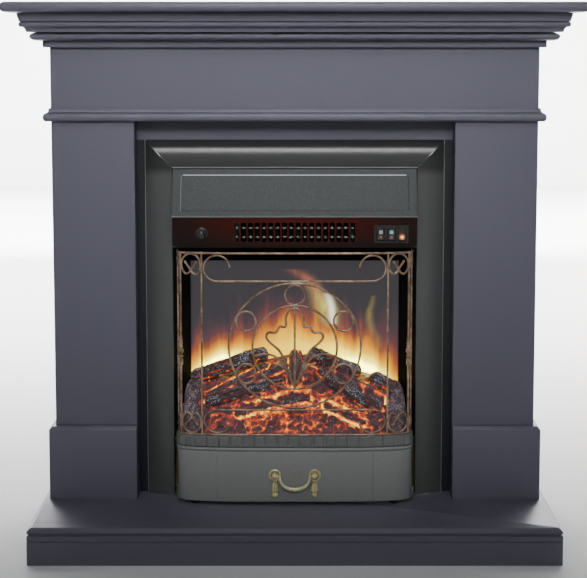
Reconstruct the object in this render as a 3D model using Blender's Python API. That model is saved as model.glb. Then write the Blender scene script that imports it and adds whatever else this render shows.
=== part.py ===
"""Electric fireplace suite: a painted surround with an inset electric fire.

Metres, +Z up. The front faces -Y, X runs across the front, and the origin is the centre of the footprint
on the floor. The surround is made of painted boards and mouldings. The fire is sheet steel, with a wire
screen, a fluted fret and a pull-off ash-pan cover in front of the fuel bed.
"""
import math
import random

import bmesh
import bpy
import numpy as np
from mathutils import Matrix, Vector
from mathutils.geometry import tessellate_polygon

for stale in list(bpy.data.objects):
    bpy.data.objects.remove(stale)

GAP = 0.0003                 # clearance between pieces that touch
SHEET = 0.0015               # steel sheet

# Base
BASE_MARGIN = 0.0235           # base edge beyond the body at each side
BASE_DEPTH = 0.390
BASE_HEIGHT = 0.060
BASE_TOP_BOARD = 0.022
BASE_BOARD = 0.018
BASE_CHAMFER = 0.0065
BASE_GROOVE_DEPTH = 0.003
BASE_GROOVE_HEIGHT = 0.0037
BASE_GROOVE_DROP = 0.0023    # edge left between the chamfer and the groove

# Surround
BODY_WIDTH = 0.800
BODY_SETBACK = 0.186         # base front to pilaster front
BOARD = 0.015
PILASTER_WIDTH = 0.1365
RECESS_DEPTH = 0.039         # pilaster front to breast board front
PLINTH_HEIGHT = 0.124
PLINTH_PROUD = 0.015
PLINTH_SIDE_PROUD = 0.010
PLINTH_BEVEL = 0.005
PILASTER_HEIGHT = 0.632      # base top to string moulding
STRING_HEIGHT = 0.0215
STRING_PROUD = 0.012
FRIEZE_HEIGHT = 0.099        # string moulding to cornice
CORNICE_HEIGHT = 0.056
CORNICE_PROUD = 0.046
SHELF_PROUD = 0.070
SHELF_THICKNESS = 0.0165
REAR_RAIL_HEIGHT = 0.068
SOFFIT_BOARD = 0.015
SOFFIT_TENON = 0.005         # soffit board let into the frieze board
CUTOUT_PLAY = 0.008          # breast board opening beyond the casing at each side
CUTOUT_DROP = 0.015          # trim top to the top of that opening

# Fire: trim and casing
FIRE_WIDTH = 0.500
FIRE_HEIGHT = 0.600
TRIM_WIDTH = 0.047
TRIM_TOP_WIDTH = 0.0457
TRIM_PROUD = 0.022
TRIM_EDGE = 0.003
CASING_MARGIN = 0.026        # trim outer edge to casing side
CASING_DEPTH = 0.155
CASING_LIFT = 0.0085         # casing underside above the base
CASING_DROP = 0.025          # trim top to casing top
COVER_MARGIN = 0.070
COVER_LAP = 0.012            # rear cover beyond its opening
LOUVRES = 9
LOUVRE_HALF = 0.045
LOUVRE_TALL = 0.006
LOUVRE_DROP = 0.030           # cover opening's top to the first louvre
GLAND_X = 0.110
GLAND_LIFT = 0.100
GLAND_BORE = 0.0045
GLAND_RADIUS = 0.0060
GLAND_FLANGE = 0.0095

# Fire: front parts share one plan curve, a flat front with rounded ends
FRONT_HALF = 0.197
FRONT_REACH = 0.098          # recess plane to the front of the fret
FRONT_BOW = 0.050
FRONT_ROUNDNESS = 4.0
FRET_HEIGHT = 0.0177
FRET_THICKNESS = 0.008
FLUTES = 23
FLUTE_DEPTH = 0.0014
CHASSIS_TOP = 0.100          # above the base top
CHASSIS_BACK = 0.125         # behind the recess plane
COVER_INSET = 0.0015
COVER_BEAD = 0.0028
COVER_PLAY = 0.0008          # cover to chassis
FRONT_STEPS = 25             # stations along the plan curve
FOOT_RADIUS = 0.00825
FOOT_X = 0.165
FOOT_SETBACK = 0.026
BED_WINDOW_HALF = 0.150      # opening under the ember bed
BED_WINDOW_FRONT = 0.022     # behind the front of the fret
BED_WINDOW_BACK = 0.008      # behind the recess plane
SPINDLE_WINDOW_HALF = 0.140
SPINDLE_WINDOW_DEPTH = 0.036
SEAM_X = 0.129               # seams pressed into the ash-pan cover
SEAM_WIDTH = 0.0012
SEAM_DEPTH = 0.0005

# Fire: heater
HOOD_TOP_DROP = 0.0010       # below the trim opening
HOOD_HEIGHT = 0.076
HOOD_REACH = 0.070           # recess plane to the lip
HOOD_SLOPE = 0.040
PANEL_RAISE = 0.0012
FASCIA_HEIGHT = 0.0505
FASCIA_CORNER = 0.010
SLOTS = 18
SLOT_PITCH = 0.01115
SLOT_WIDTH = 0.0083
SLOT_HEIGHT = 0.032
SLOT_LIFT = 0.0255           # slot centre above the fascia's lower edge
KNOB_X = -0.1525
CONTROL_LIFT = 0.0225        # knob and switch centre above the fascia's lower edge
KNOB_RADIUS = 0.0109
KNOB_LENGTH = 0.0112
SHAFT_RADIUS = 0.0030
SHAFT_CLEARANCE = 0.0004
SWITCHES = 3
SWITCH_PITCH = 0.0174
SWITCH_X = 0.1583            # middle switch
ROCKER_WIDTH = 0.0122
ROCKER_HEIGHT = 0.0208
ROCKER_TILT = math.radians(6)
ROCKER_CLEARANCE = 0.0008
ROCKER_PIN = 0.0012
FAN_RADIUS = 0.022
FAN_LENGTH = 0.176
FAN_BLADES = 12
FAN_HOUSING_LENGTH = 0.190
FAN_SHAFT = 0.002
SCROLL_GAP = 0.0085          # impeller to the start of the scroll
FAN_BACK = 0.014             # impeller to the flame screen
MOUTH_PLAY = 0.0043          # element to the mouth of the fan housing
ELEMENT_LENGTH = 0.184
ELEMENT_DEPTH = 0.005
ELEMENT_PLAY = 0.0022        # fascia to element

# Fire: flame effect
GLASS_SETBACK = 0.020        # behind the recess plane
GLASS_THICKNESS = 0.003
GLASS_HALF = 0.1765
LEDGE_HEIGHT = 0.031
SPINDLE_SETBACK = 0.060
SPINDLE_LIFT = 0.040         # above the chassis
SPINDLE_RADIUS = 0.002
SPINDLE_TABS = 11
SPINDLE_TAB_REACH = 0.016
LAMPS = 6
LAMP_REACH = 0.030           # recess plane to the lamp board's middle
LAMP_BOARD_WIDTH = 0.020
LAMP_END = 0.015             # last lamp to the board's end
SEAT_PLAY = 0.0006           # log to its moulded seat
BED_INSET = 0.0010           # ember bed behind the fret
BED_LIFT = 0.0008            # its front edge above the fret
BED_WALL = 0.022
BED_LUMP = 0.0022

# Wire screen
WIRE = 0.0017                # radius of the frame wire
SCROLL_WIRE = 0.0015
SCREEN_INSET = 0.0035
SCREEN_TOP = 0.4205          # top rail above the base top
POST_X = 0.187
INNER_POST_X = 0.152
MEDALLION_LIFT = 0.267       # above the base top
MEDALLION_WIDE = 0.1055
MEDALLION_TALL = 0.1008
MEDALLION_DROP = 0.0025      # inner ring below the outer one
INNER_RING = 0.0665
SMALL_RING = 0.0180
SMALL_RING_ORBIT = 0.0860
HOOK_RADIUS = 0.0200
CORNER_SCROLL = 0.0128

# Handle
HANDLE_SPACING = 0.0655
HANDLE_LIFT = 0.0525         # above the base top
HANDLE_STANDOFF = 0.0082
ROSETTE_RADIUS = 0.0085
BALL_RADIUS = 0.0044
BAIL_DROP = 0.022
BAIL_WIRE = 0.0022
BAIL_PIN = 0.0011
TASSEL_STANDOFF = 0.0032     # cover face to the tassel's middle
TASSEL_FLATTEN = 0.68

# Positions that follow from the sizes above
BACK_Y = BASE_DEPTH / 2
BASE_TOP_Z = BASE_HEIGHT
BODY_Y = -BASE_DEPTH / 2 + BODY_SETBACK
RECESS_Y = BODY_Y + RECESS_DEPTH
BODY_HALF = BODY_WIDTH / 2
RECESS_HALF = BODY_HALF - PILASTER_WIDTH
STRING_Z = BASE_TOP_Z + PILASTER_HEIGHT
CORNICE_Z = STRING_Z + STRING_HEIGHT + FRIEZE_HEIGHT
SHELF_Z = CORNICE_Z + CORNICE_HEIGHT
TRIM_Y = RECESS_Y - GAP
TRIM_TOP_Z = BASE_TOP_Z + FIRE_HEIGHT
OPENING_HALF = FIRE_WIDTH / 2 - TRIM_WIDTH
OPENING_TOP_Z = TRIM_TOP_Z - TRIM_TOP_WIDTH
CASING_HALF = FIRE_WIDTH / 2 - CASING_MARGIN
CASING_BACK_Y = RECESS_Y + CASING_DEPTH
FRONT_Y = RECESS_Y - FRONT_REACH
SHELF_TOP_Z = BASE_TOP_Z + CHASSIS_TOP
CHASSIS_Z = BASE_TOP_Z + CASING_LIFT + SHEET + GAP
FRET_TOP_Z = SHELF_TOP_Z + GAP + FRET_HEIGHT
HOOD_TOP_Z = OPENING_TOP_Z - HOOD_TOP_DROP
LIP_Z = HOOD_TOP_Z - HOOD_HEIGHT
LIP_Y = RECESS_Y - HOOD_REACH
HOOD_HALF = OPENING_HALF - 0.0018
FASCIA_Y = LIP_Y + 0.003
FASCIA_Z = LIP_Z - GAP - FASCIA_HEIGHT
CONTROL_Z = FASCIA_Z + CONTROL_LIFT
GLASS_Y = RECESS_Y + GLASS_SETBACK
HEATER_SHELF_Z = FASCIA_Z


def painted(name, colour, roughness, metallic=0.0):
    """Material with the piece's colour."""
    material = bpy.data.materials.new(name)
    material.use_nodes = True
    shader = material.node_tree.nodes["Principled BSDF"]
    shader.inputs["Base Color"].default_value = (*colour, 1.0)
    shader.inputs["Roughness"].default_value = roughness
    shader.inputs["Metallic"].default_value = metallic
    return material


SLATE_PAINT = painted("slate_paint", (0.13, 0.13, 0.16), 0.5)
BLACK_STEEL = painted("black_steel", (0.05, 0.05, 0.055), 0.45, 0.3)
HOOD_STEEL = painted("hood_steel", (0.10, 0.11, 0.11), 0.5, 0.3)
GALVANISED = painted("galvanised_steel", (0.45, 0.46, 0.47), 0.45, 0.9)
BRONZE = painted("antique_bronze", (0.16, 0.12, 0.09), 0.4, 0.9)
BRASS = painted("aged_brass", (0.42, 0.30, 0.14), 0.35, 0.95)
BLACK_PLASTIC = painted("black_plastic", (0.02, 0.02, 0.02), 0.4)
LIT_PLASTIC = painted("orange_plastic", (0.8, 0.25, 0.05), 0.35)
SMOKED_GLASS = painted("smoked_glass", (0.08, 0.08, 0.09), 0.1)
EMBERS = painted("ember_moulding", (0.35, 0.08, 0.03), 0.8)
CHARRED = painted("charred_log", (0.06, 0.055, 0.055), 0.9)
COPPER = painted("copper_winding", (0.5, 0.22, 0.1), 0.4, 0.8)
CIRCUIT = painted("circuit_board", (0.05, 0.18, 0.08), 0.5)


def skin(rings, loop=False):
    """Closed mesh through rings of equal count, capped at both ends unless the rings form a loop."""
    mesh = bmesh.new()
    rows = [[mesh.verts.new(point) for point in ring] for ring in rings]
    spans = len(rows) if loop else len(rows) - 1
    for index in range(spans):
        lower, upper = rows[index], rows[(index + 1) % len(rows)]
        for side in range(len(lower)):
            after = (side + 1) % len(lower)
            mesh.faces.new((lower[side], lower[after], upper[after], upper[side]))
    if not loop:
        mesh.faces.new(rows[0][::-1])
        mesh.faces.new(rows[-1])
    bmesh.ops.recalc_face_normals(mesh, faces=mesh.faces)
    return mesh


def piece(name, mesh, material, sharp=35):
    """Object from a bmesh, shaded smooth below the sharp angle."""
    data = bpy.data.meshes.new(name)
    mesh.to_mesh(data)
    mesh.free()
    data.materials.append(material)
    data.shade_smooth()
    data.set_sharp_from_angle(angle=math.radians(sharp))
    made = bpy.data.objects.new(name, data)
    bpy.context.scene.collection.objects.link(made)
    return made


def box(low, high):
    """Mesh of a box between two corners."""
    (x0, y0, z0), (x1, y1, z1) = low, high
    outline = [(x0, y0), (x1, y0), (x1, y1), (x0, y1)]
    return skin([[(x, y, z) for x, y in outline] for z in (z0, z1)])


def along_x(outline, start, end):
    """Prism along X from an outline of (y, z) points."""
    return skin([[(x, y, z) for y, z in outline] for x in (start, end)])


def along_y(outline, start, end):
    """Prism along Y from an outline of (x, z) points."""
    return skin([[(x, y, z) for x, z in outline] for y in (start, end)])


def along_z(outline, start, end):
    """Prism along Z from an outline of (x, y) points."""
    return skin([[(x, y, z) for x, y in outline] for z in (start, end)])


def circle_points(radius, steps, centre=(0.0, 0.0), start=0.0):
    """Points of a circle as pairs."""
    angles = start + 2 * math.pi * np.arange(steps) / steps
    return [(centre[0] + radius * math.cos(a), centre[1] + radius * math.sin(a)) for a in angles]


def rounded_outline(half_wide, half_tall, radius, steps=3, centre=(0.0, 0.0)):
    """Rectangle with arc corners, as pairs."""
    points = []
    for turn, (sx, sz) in enumerate(((1, 1), (-1, 1), (-1, -1), (1, -1))):
        for step in range(steps + 1):
            angle = (turn + step / steps) * math.pi / 2
            points.append((centre[0] + sx * (half_wide - radius) + radius * math.cos(angle),
                           centre[1] + sz * (half_tall - radius) + radius * math.sin(angle)))
    return points


def turned(profile, axis, centre, steps=16, bored=False):
    """Turned solid: profile pairs of (radius, distance along the axis). A bored one closes on itself."""
    order = {"X": (1, 2, 0), "Y": (2, 0, 1), "Z": (0, 1, 2)}[axis]
    rings = []
    for radius, height in profile:
        ring = []
        for c, s in circle_points(radius, steps):
            point = [0.0, 0.0, 0.0]
            point[order[0]], point[order[1]], point[order[2]] = c, s, height
            ring.append(Vector(point) + Vector(centre))
        rings.append(ring)
    return skin(rings, loop=bored)


def tube(points, radius, sides=6, closed=False):
    """Round wire along a path, its frame carried along without twist. Radius may vary by point."""
    path = [Vector(point) for point in points]
    count = len(path)
    radii = [radius] * count if isinstance(radius, float) else list(radius)
    tangents = []
    for index in range(count):
        before = path[(index - 1) % count] if closed or index else path[0]
        after = path[(index + 1) % count] if closed or index < count - 1 else path[-1]
        tangents.append((after - before).normalized())
    reference = Vector((0, 1, 0)) if abs(tangents[0].y) < 0.9 else Vector((0, 0, 1))
    normal = (reference - tangents[0] * reference.dot(tangents[0])).normalized()
    rings = []
    for index in range(count):
        normal = (normal - tangents[index] * normal.dot(tangents[index])).normalized()
        side = tangents[index].cross(normal)
        rings.append([path[index] + radii[index] * (normal * c + side * s)
                      for c, s in circle_points(1.0, sides, start=math.pi / sides)])
    return skin(rings, loop=closed)


def plate(outline, holes, place, thickness):
    """Flat plate with holes. place(u, v, w) turns outline pairs and a depth into a point."""
    loops = [outline] + holes
    flat = [[Vector((u, v, 0.0)) for u, v in loop] for loop in loops]
    triangles = tessellate_polygon(flat)
    pairs = [pair for loop in loops for pair in loop]
    mesh = bmesh.new()
    front = [mesh.verts.new(place(u, v, 0.0)) for u, v in pairs]
    back = [mesh.verts.new(place(u, v, thickness)) for u, v in pairs]
    for a, b, c in triangles:
        mesh.faces.new((front[a], front[b], front[c]))
        mesh.faces.new((back[c], back[b], back[a]))
    first = 0
    for loop in loops:
        for step in range(len(loop)):
            a, b = first + step, first + (step + 1) % len(loop)
            mesh.faces.new((front[a], front[b], back[b], back[a]))
        first += len(loop)
    bmesh.ops.recalc_face_normals(mesh, faces=mesh.faces)
    return mesh


def combine(target, tools, operation):
    """Apply one Boolean with a group of tool objects, and remove the tools."""
    group = bpy.data.collections.new("tools")
    for tool in tools:
        group.objects.link(tool)
    modifier = target.modifiers.new("join", "BOOLEAN")
    modifier.operation = operation
    modifier.operand_type = "COLLECTION"
    modifier.collection = group
    bpy.context.scene.collection.children.link(group)
    bpy.context.view_layer.update()
    shape = target.evaluated_get(bpy.context.evaluated_depsgraph_get())
    target.data = bpy.data.meshes.new_from_object(shape)
    target.modifiers.clear()
    for tool in tools:
        bpy.data.objects.remove(tool)
    bpy.data.collections.remove(group)
    return target


def cut(target, *meshes):
    """Take meshes away from an object, one after the other."""
    for mesh in meshes:
        combine(target, [piece("cutter", mesh, target.data.materials[0])], "DIFFERENCE")
    return target


def weld(name, meshes, material, sharp=35):
    """One object from overlapping meshes."""
    parts = [piece(f"{name}_{index}", mesh, material) for index, mesh in enumerate(meshes)]
    whole = combine(parts[0], parts[1:], "UNION")
    whole.name = name
    whole.data.name = name
    whole.data.shade_smooth()
    whole.data.set_sharp_from_angle(angle=math.radians(sharp))
    return whole


def hang_on(made, pivot):
    """Put an object's origin on its joint."""
    made.data.transform(Matrix.Translation(-Vector(pivot)))
    made.location = pivot
    return made


def board_stack(levels, half, front, back=BACK_Y):
    """Board whose front and side edges follow (inset, z) levels. The back edge is straight."""
    return skin([[(-half + inset, front + inset, z), (half - inset, front + inset, z),
                  (half - inset, back, z), (-half + inset, back, z)] for inset, z in levels])


def moulding(profile, half, face):
    """Moulding round the front and both sides, mitred at the corners. Profile pairs are (projection, z)."""
    stations = [(-1, None), (-1, face), (1, face), (1, None)]
    return skin([[(side * (half + out), BACK_Y if corner is None else corner - out, z) for out, z in profile]
                 for side, corner in stations])


def arc(centre, radii, start, end, steps):
    """Points of an elliptical arc as pairs, angles in degrees."""
    angles = np.radians(np.linspace(start, end, steps + 1))
    return [(centre[0] + radii[0] * math.cos(a), centre[1] + radii[1] * math.sin(a)) for a in angles]


def base():
    """Box base: a chamfered top with a shadow groove, on a folded front and sides and a rear rail."""
    half = BODY_HALF + BASE_MARGIN
    chamfer_z = BASE_TOP_Z - BASE_CHAMFER
    groove_z = chamfer_z - BASE_GROOVE_DROP
    under_z = BASE_TOP_Z - BASE_TOP_BOARD
    levels = [(0, under_z), (0, groove_z - BASE_GROOVE_HEIGHT),
              (BASE_GROOVE_DEPTH, groove_z - BASE_GROOVE_HEIGHT), (BASE_GROOVE_DEPTH, groove_z),
              (0, groove_z), (0, chamfer_z), (BASE_CHAMFER, BASE_TOP_Z)]
    piece("base_top", board_stack(levels, half, -BASE_DEPTH / 2), SLATE_PAINT)
    top_z = under_z - GAP
    inner_half, inner_y = half - BASE_BOARD, -BASE_DEPTH / 2 + BASE_BOARD
    outline = [(-half, -BASE_DEPTH / 2), (half, -BASE_DEPTH / 2), (half, BACK_Y), (inner_half, BACK_Y),
               (inner_half, inner_y), (-inner_half, inner_y), (-inner_half, BACK_Y), (-half, BACK_Y)]
    piece("base_frame", along_z(outline, 0, top_z), SLATE_PAINT)
    rear_half = inner_half - GAP
    piece("base_rear", box((-rear_half, BACK_Y - BASE_BOARD, 0), (rear_half, BACK_Y, top_z)), SLATE_PAINT)


def surround():
    """Pilasters, plinths, sides, breast board, frieze, mouldings, rear rail and shelf."""
    foot_z = BASE_TOP_Z + GAP
    board_y = BODY_Y + BOARD
    reveal_y = RECESS_Y - GAP
    plinth_y = BODY_Y - PLINTH_PROUD
    plinth_top = BASE_TOP_Z + PLINTH_HEIGHT
    bevel_z = plinth_top - PLINTH_BEVEL
    plinth_half = BODY_HALF + PLINTH_SIDE_PROUD
    under_shelf = SHELF_Z - GAP
    for name, side in (("left", -1), ("right", 1)):
        angle_section = [(RECESS_HALF, BODY_Y), (BODY_HALF, BODY_Y), (BODY_HALF, board_y),
                         (RECESS_HALF + BOARD, board_y), (RECESS_HALF + BOARD, reveal_y),
                         (RECESS_HALF, reveal_y)]
        angle_section = [(side * x, y) for x, y in angle_section]
        piece(f"pilaster_{name}", along_z(angle_section, foot_z, STRING_Z - GAP), SLATE_PAINT)
        inner, outer = sorted((side * (BODY_HALF - BOARD), side * BODY_HALF))
        piece(f"side_panel_{name}", box((inner, board_y + GAP, foot_z), (outer, BACK_Y, under_shelf)),
              SLATE_PAINT)
        rings = []
        for inset, z in ((0, foot_z), (0, bevel_z), (PLINTH_BEVEL, plinth_top)):
            wrap = [(RECESS_HALF, plinth_y + inset), (plinth_half - inset, plinth_y + inset),
                    (plinth_half - inset, BACK_Y), (BODY_HALF + GAP, BACK_Y),
                    (BODY_HALF + GAP, BODY_Y - GAP), (RECESS_HALF, BODY_Y - GAP)]
            rings.append([(side * x, y, z) for x, y in wrap])
        piece(f"plinth_{name}", skin(rings), SLATE_PAINT)

    panel_half = BODY_HALF - BOARD - GAP
    cutout_half = CASING_HALF + CUTOUT_PLAY
    cutout_top = TRIM_TOP_Z - CUTOUT_DROP
    outline = [(-panel_half, foot_z), (-cutout_half, foot_z), (-cutout_half, cutout_top),
               (cutout_half, cutout_top), (cutout_half, foot_z), (panel_half, foot_z),
               (panel_half, under_shelf), (-panel_half, under_shelf)]
    piece("breast_board", along_y(outline, RECESS_Y, RECESS_Y + BOARD), SLATE_PAINT)
    weld("frieze_board", [box((-BODY_HALF, BODY_Y, STRING_Z), (BODY_HALF, board_y, under_shelf)),
                          box((-RECESS_HALF - BOARD, board_y - SOFFIT_TENON, STRING_Z),
                              (RECESS_HALF + BOARD, reveal_y, STRING_Z + SOFFIT_BOARD))], SLATE_PAINT)
    piece("rear_top_rail", box((-panel_half, BACK_Y - BASE_BOARD, under_shelf - REAR_RAIL_HEIGHT),
                               (panel_half, BACK_Y, under_shelf)), SLATE_PAINT)

    string_top = STRING_Z + STRING_HEIGHT
    nose = arc((STRING_PROUD * 0.55, STRING_Z + STRING_HEIGHT * 0.32),
               (STRING_PROUD * 0.45, STRING_HEIGHT * 0.32), -90, 60, 6)
    string = [(GAP, STRING_Z)] + nose + [(STRING_PROUD * 0.28, string_top), (GAP, string_top)]
    piece("string_moulding", moulding(string, BODY_HALF, BODY_Y), SLATE_PAINT)

    p, h = CORNICE_PROUD, CORNICE_HEIGHT
    fillet_z = CORNICE_Z + h * 0.19
    torus = arc((p * 0.33, fillet_z + h * 0.125), (p * 0.30, h * 0.125), -90, 90, 8)
    cove = arc((p * 0.86, fillet_z + h * 0.25), (p * 0.13, h * 0.145), 180, 90, 5)
    bead = arc((p * 0.88, fillet_z + h * 0.47), (p * 0.07, h * 0.075), -90, 90, 6)
    cornice = [(GAP, CORNICE_Z), (p * 0.22, CORNICE_Z), (p * 0.22, fillet_z)] + torus + cove + bead
    cornice += [(p * 0.97, fillet_z + h * 0.56), (p, SHELF_Z - GAP), (GAP, SHELF_Z - GAP)]
    piece("cornice", moulding(cornice, BODY_HALF, BODY_Y), SLATE_PAINT)

    round_over = SHELF_THICKNESS / 2
    levels = [(round_over * (1 - math.sin(a)), SHELF_Z + round_over * (1 - math.cos(a)))
              for a in np.radians(np.linspace(0, 180, 13))]
    piece("mantel_shelf", board_stack(levels, BODY_HALF + SHELF_PROUD, BODY_Y - SHELF_PROUD), SLATE_PAINT)


def front_point(share, inset):
    """Point of the fire's plan curve, moved inwards by an inset; share runs from -1 (left) to 1 (right).

    The curve is half of a superellipse: |x/a|^n + |y/b|^n = 1, spaced evenly along its length.
    """
    n = FRONT_ROUNDNESS
    t = np.linspace(0, math.pi, 721)
    xs = -(FRONT_HALF - inset) * np.sign(np.cos(t)) * np.abs(np.cos(t)) ** (2 / n)
    ys = FRONT_Y + FRONT_BOW - (FRONT_BOW - inset) * np.sin(t) ** (2 / n)
    run = np.concatenate(([0], np.cumsum(np.hypot(np.diff(xs), np.diff(ys)))))
    at = (share + 1) / 2 * run[-1]
    return float(np.interp(at, run, xs)), float(np.interp(at, run, ys))


def plan_y(x, inset):
    """Depth of the plan curve at x, moved inwards by an inset."""
    share = min(abs(x) / (FRONT_HALF - inset), 1.0)
    bow = (1 - share ** FRONT_ROUNDNESS) ** (1 / FRONT_ROUNDNESS)
    return FRONT_Y + FRONT_BOW - (FRONT_BOW - inset) * bow


def front_strip(profile, shares):
    """Strip along the plan curve. profile(share) gives its (inset, z) outline."""
    rings = []
    for share in shares:
        rings.append([(*front_point(share, inset), z) for inset, z in profile(share)])
    return skin(rings)


def trim_frame():
    """Three mitred lengths of pressed trim, rising in a curve from the outer edge to the opening."""
    def section(width):
        rise = TRIM_PROUD - TRIM_EDGE
        outer = [(0, 0), (0, TRIM_EDGE)]
        outer += [(width * s, TRIM_EDGE + rise * math.sin(s * math.pi / 2) ** 0.8)
                  for s in (0.06, 0.15, 0.28, 0.42, 0.58, 0.75, 0.92)]
        outer += [(width, TRIM_PROUD - 0.0015), (width, 0)]
        inner = [(min(max(d, SHEET), width - SHEET), max(h - SHEET, 0)) for d, h in outer]
        inner[0] = (SHEET, 0)
        return outer + inner[::-1]

    half, foot_z = FIRE_WIDTH / 2, BASE_TOP_Z + GAP
    side_section, top_section = section(TRIM_WIDTH), section(TRIM_TOP_WIDTH)
    for name, side in (("left", -1), ("right", 1)):
        rings = [[(side * (half - d), TRIM_Y - h, foot_z) for d, h in side_section],
                 [(side * (half - d), TRIM_Y - h, TRIM_TOP_Z - d * TRIM_TOP_WIDTH / TRIM_WIDTH - GAP)
                  for d, h in side_section]]
        piece(f"trim_{name}", skin(rings), BLACK_STEEL)
    rings = [[(side * (half - d * TRIM_WIDTH / TRIM_TOP_WIDTH), TRIM_Y - h, TRIM_TOP_Z - d)
              for d, h in top_section] for side in (-1, 1)]
    piece("trim_top", skin(rings), BLACK_STEEL)


def casing():
    """Rear casing, its louvred access cover and the cable gland in it."""
    low = BASE_TOP_Z + CASING_LIFT
    high = TRIM_TOP_Z - CASING_DROP
    shell = piece("firebox_casing", box((-CASING_HALF, RECESS_Y, low), (CASING_HALF, CASING_BACK_Y, high)),
                  GALVANISED)
    inner = CASING_HALF - SHEET
    hole_half, hole_low, hole_high = CASING_HALF - COVER_MARGIN, low + COVER_MARGIN, high - COVER_MARGIN
    cut(shell,
        box((-inner, RECESS_Y + SHEET, low + SHEET), (inner, CASING_BACK_Y - SHEET, high - SHEET)),
        box((-OPENING_HALF - 0.0005, RECESS_Y - 0.01, low + SHEET),
            (OPENING_HALF + 0.0005, RECESS_Y + 0.01, OPENING_TOP_Z)),
        box((-hole_half, CASING_BACK_Y - 0.01, hole_low), (hole_half, CASING_BACK_Y + 0.01, hole_high)))

    edge = COVER_LAP
    gland_z = low + GLAND_LIFT
    outline = [(-hole_half - edge, hole_low - edge), (hole_half + edge, hole_low - edge),
               (hole_half + edge, hole_high + edge), (-hole_half - edge, hole_high + edge)]
    holes = [circle_points(GLAND_RADIUS + GAP, 12, (GLAND_X, gland_z))]
    pitch = (hole_high - hole_low) * 0.6 / LOUVRES
    for index in range(LOUVRES):
        z = hole_high - LOUVRE_DROP - index * pitch
        holes.append(rounded_outline(LOUVRE_HALF, LOUVRE_TALL / 2, LOUVRE_TALL / 3, 1, (0.0, z)))
    cover_y = CASING_BACK_Y + GAP
    piece("rear_cover", plate(outline, holes, lambda u, v, w: (u, cover_y + w, v), SHEET), GALVANISED)
    outside = cover_y + SHEET + GAP
    sleeve = [(GLAND_BORE, -0.010), (GLAND_RADIUS, -0.010), (GLAND_RADIUS, 0), (GLAND_FLANGE, 0),
              (GLAND_FLANGE, 0.003), (GLAND_RADIUS, 0.0065), (GLAND_BORE, 0.0065)]
    piece("cable_gland", turned(sleeve, "Y", (GLAND_X, outside, gland_z), 12, bored=True),
          BLACK_PLASTIC)


def chassis():
    """Tray that carries the fuel bed and the flame effect, open at the front behind the ash-pan cover."""
    inset = COVER_INSET + SHEET + COVER_PLAY
    plan = [front_point(share, inset) for share in np.linspace(-1, 1, FRONT_STEPS)]
    back_y = RECESS_Y + CHASSIS_BACK
    outline = plan + [(plan[-1][0], back_y), (plan[0][0], back_y)]
    tray = piece("fuel_bed_chassis", along_z(outline, CHASSIS_Z, SHELF_TOP_Z), BLACK_STEEL)
    half = plan[-1][0] - SHEET
    cut(tray,
        box((-half, FRONT_Y - 0.01, CHASSIS_Z + SHEET), (half, back_y + 0.01, SHELF_TOP_Z - SHEET)),
        box((-BED_WINDOW_HALF, FRONT_Y + BED_WINDOW_FRONT, SHELF_TOP_Z - 0.01),
            (BED_WINDOW_HALF, RECESS_Y + BED_WINDOW_BACK, SHELF_TOP_Z + 0.01)),
        box((-SPINDLE_WINDOW_HALF, RECESS_Y + SPINDLE_SETBACK - SPINDLE_WINDOW_DEPTH / 2, SHELF_TOP_Z - 0.01),
            (SPINDLE_WINDOW_HALF, RECESS_Y + SPINDLE_SETBACK + SPINDLE_WINDOW_DEPTH / 2, SHELF_TOP_Z + 0.01)))

    for name, side in (("left", -1), ("right", 1)):
        profile = [(FOOT_RADIUS * 0.86, 0), (FOOT_RADIUS, 0.001),
                   (FOOT_RADIUS, CASING_LIFT + SHEET - 0.001), (FOOT_RADIUS * 0.9, CASING_LIFT + SHEET - GAP)]
        centre = (side * FOOT_X, FRONT_Y + FOOT_SETBACK, BASE_TOP_Z + GAP)
        piece(f"foot_{name}", turned(profile, "Z", centre, 16), BLACK_PLASTIC)

    floor_z = CHASSIS_Z + SHEET + GAP
    board_half, lamp_y = BED_WINDOW_HALF, RECESS_Y - LAMP_REACH
    lamps = [box((-board_half, lamp_y - LAMP_BOARD_WIDTH / 2, floor_z),
                 (board_half, lamp_y + LAMP_BOARD_WIDTH / 2, floor_z + 0.0016))]
    for x in np.linspace(-board_half + LAMP_END, board_half - LAMP_END, LAMPS):
        lamps.append(turned([(0.0030, 0), (0.0030, 0.003), (0.0018, 0.0052)], "Z",
                            (x, lamp_y, floor_z + 0.001), 6))
    weld("lamp_board", lamps, CIRCUIT)


def fret():
    """Fluted strip on the front edge of the chassis."""
    low, high = SHELF_TOP_Z + GAP, FRET_TOP_Z

    ridge = 1 / FLUTES
    stations = [(-1.0, 0.0)]
    for index in range(FLUTES):
        middle = -1 + (2 * index + 1) * ridge
        stations += [(middle - ridge * 0.30, 0.0), (middle + ridge * 0.30, 0.0)]
        if index < FLUTES - 1:
            stations.append((middle + ridge, FLUTE_DEPTH))
    stations.append((1.0, 0.0))
    dips = dict(stations)

    def outline(share):
        dip = dips[share]
        return [(0.0, low), (dip, low + 0.003), (dip, high - 0.003), (0.0014, high),
                (FRET_THICKNESS, high), (FRET_THICKNESS, low)]
    piece("fret", front_strip(outline, list(dips)), BLACK_STEEL)


def tassel(x, face_y, axis_z):
    """Flattened tassel cast with the rosette, hanging from its rim."""
    profile = [(0.0024, -0.0060), (0.0032, -0.0074), (0.0021, -0.0105), (0.0031, -0.0130), (0.0041, -0.0200),
               (0.0044, -0.0245), (0.0031, -0.0262), (0.0041, -0.0300), (0.0039, -0.0325), (0.0020, -0.0352)]
    mesh = turned(profile, "Z", (0, 0, 0), 10)
    for vertex in mesh.verts:
        across, depth, height = vertex.co
        vertex.co = (x + across, face_y - TASSEL_STANDOFF + depth * TASSEL_FLATTEN, axis_z + height)
    return mesh


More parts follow.
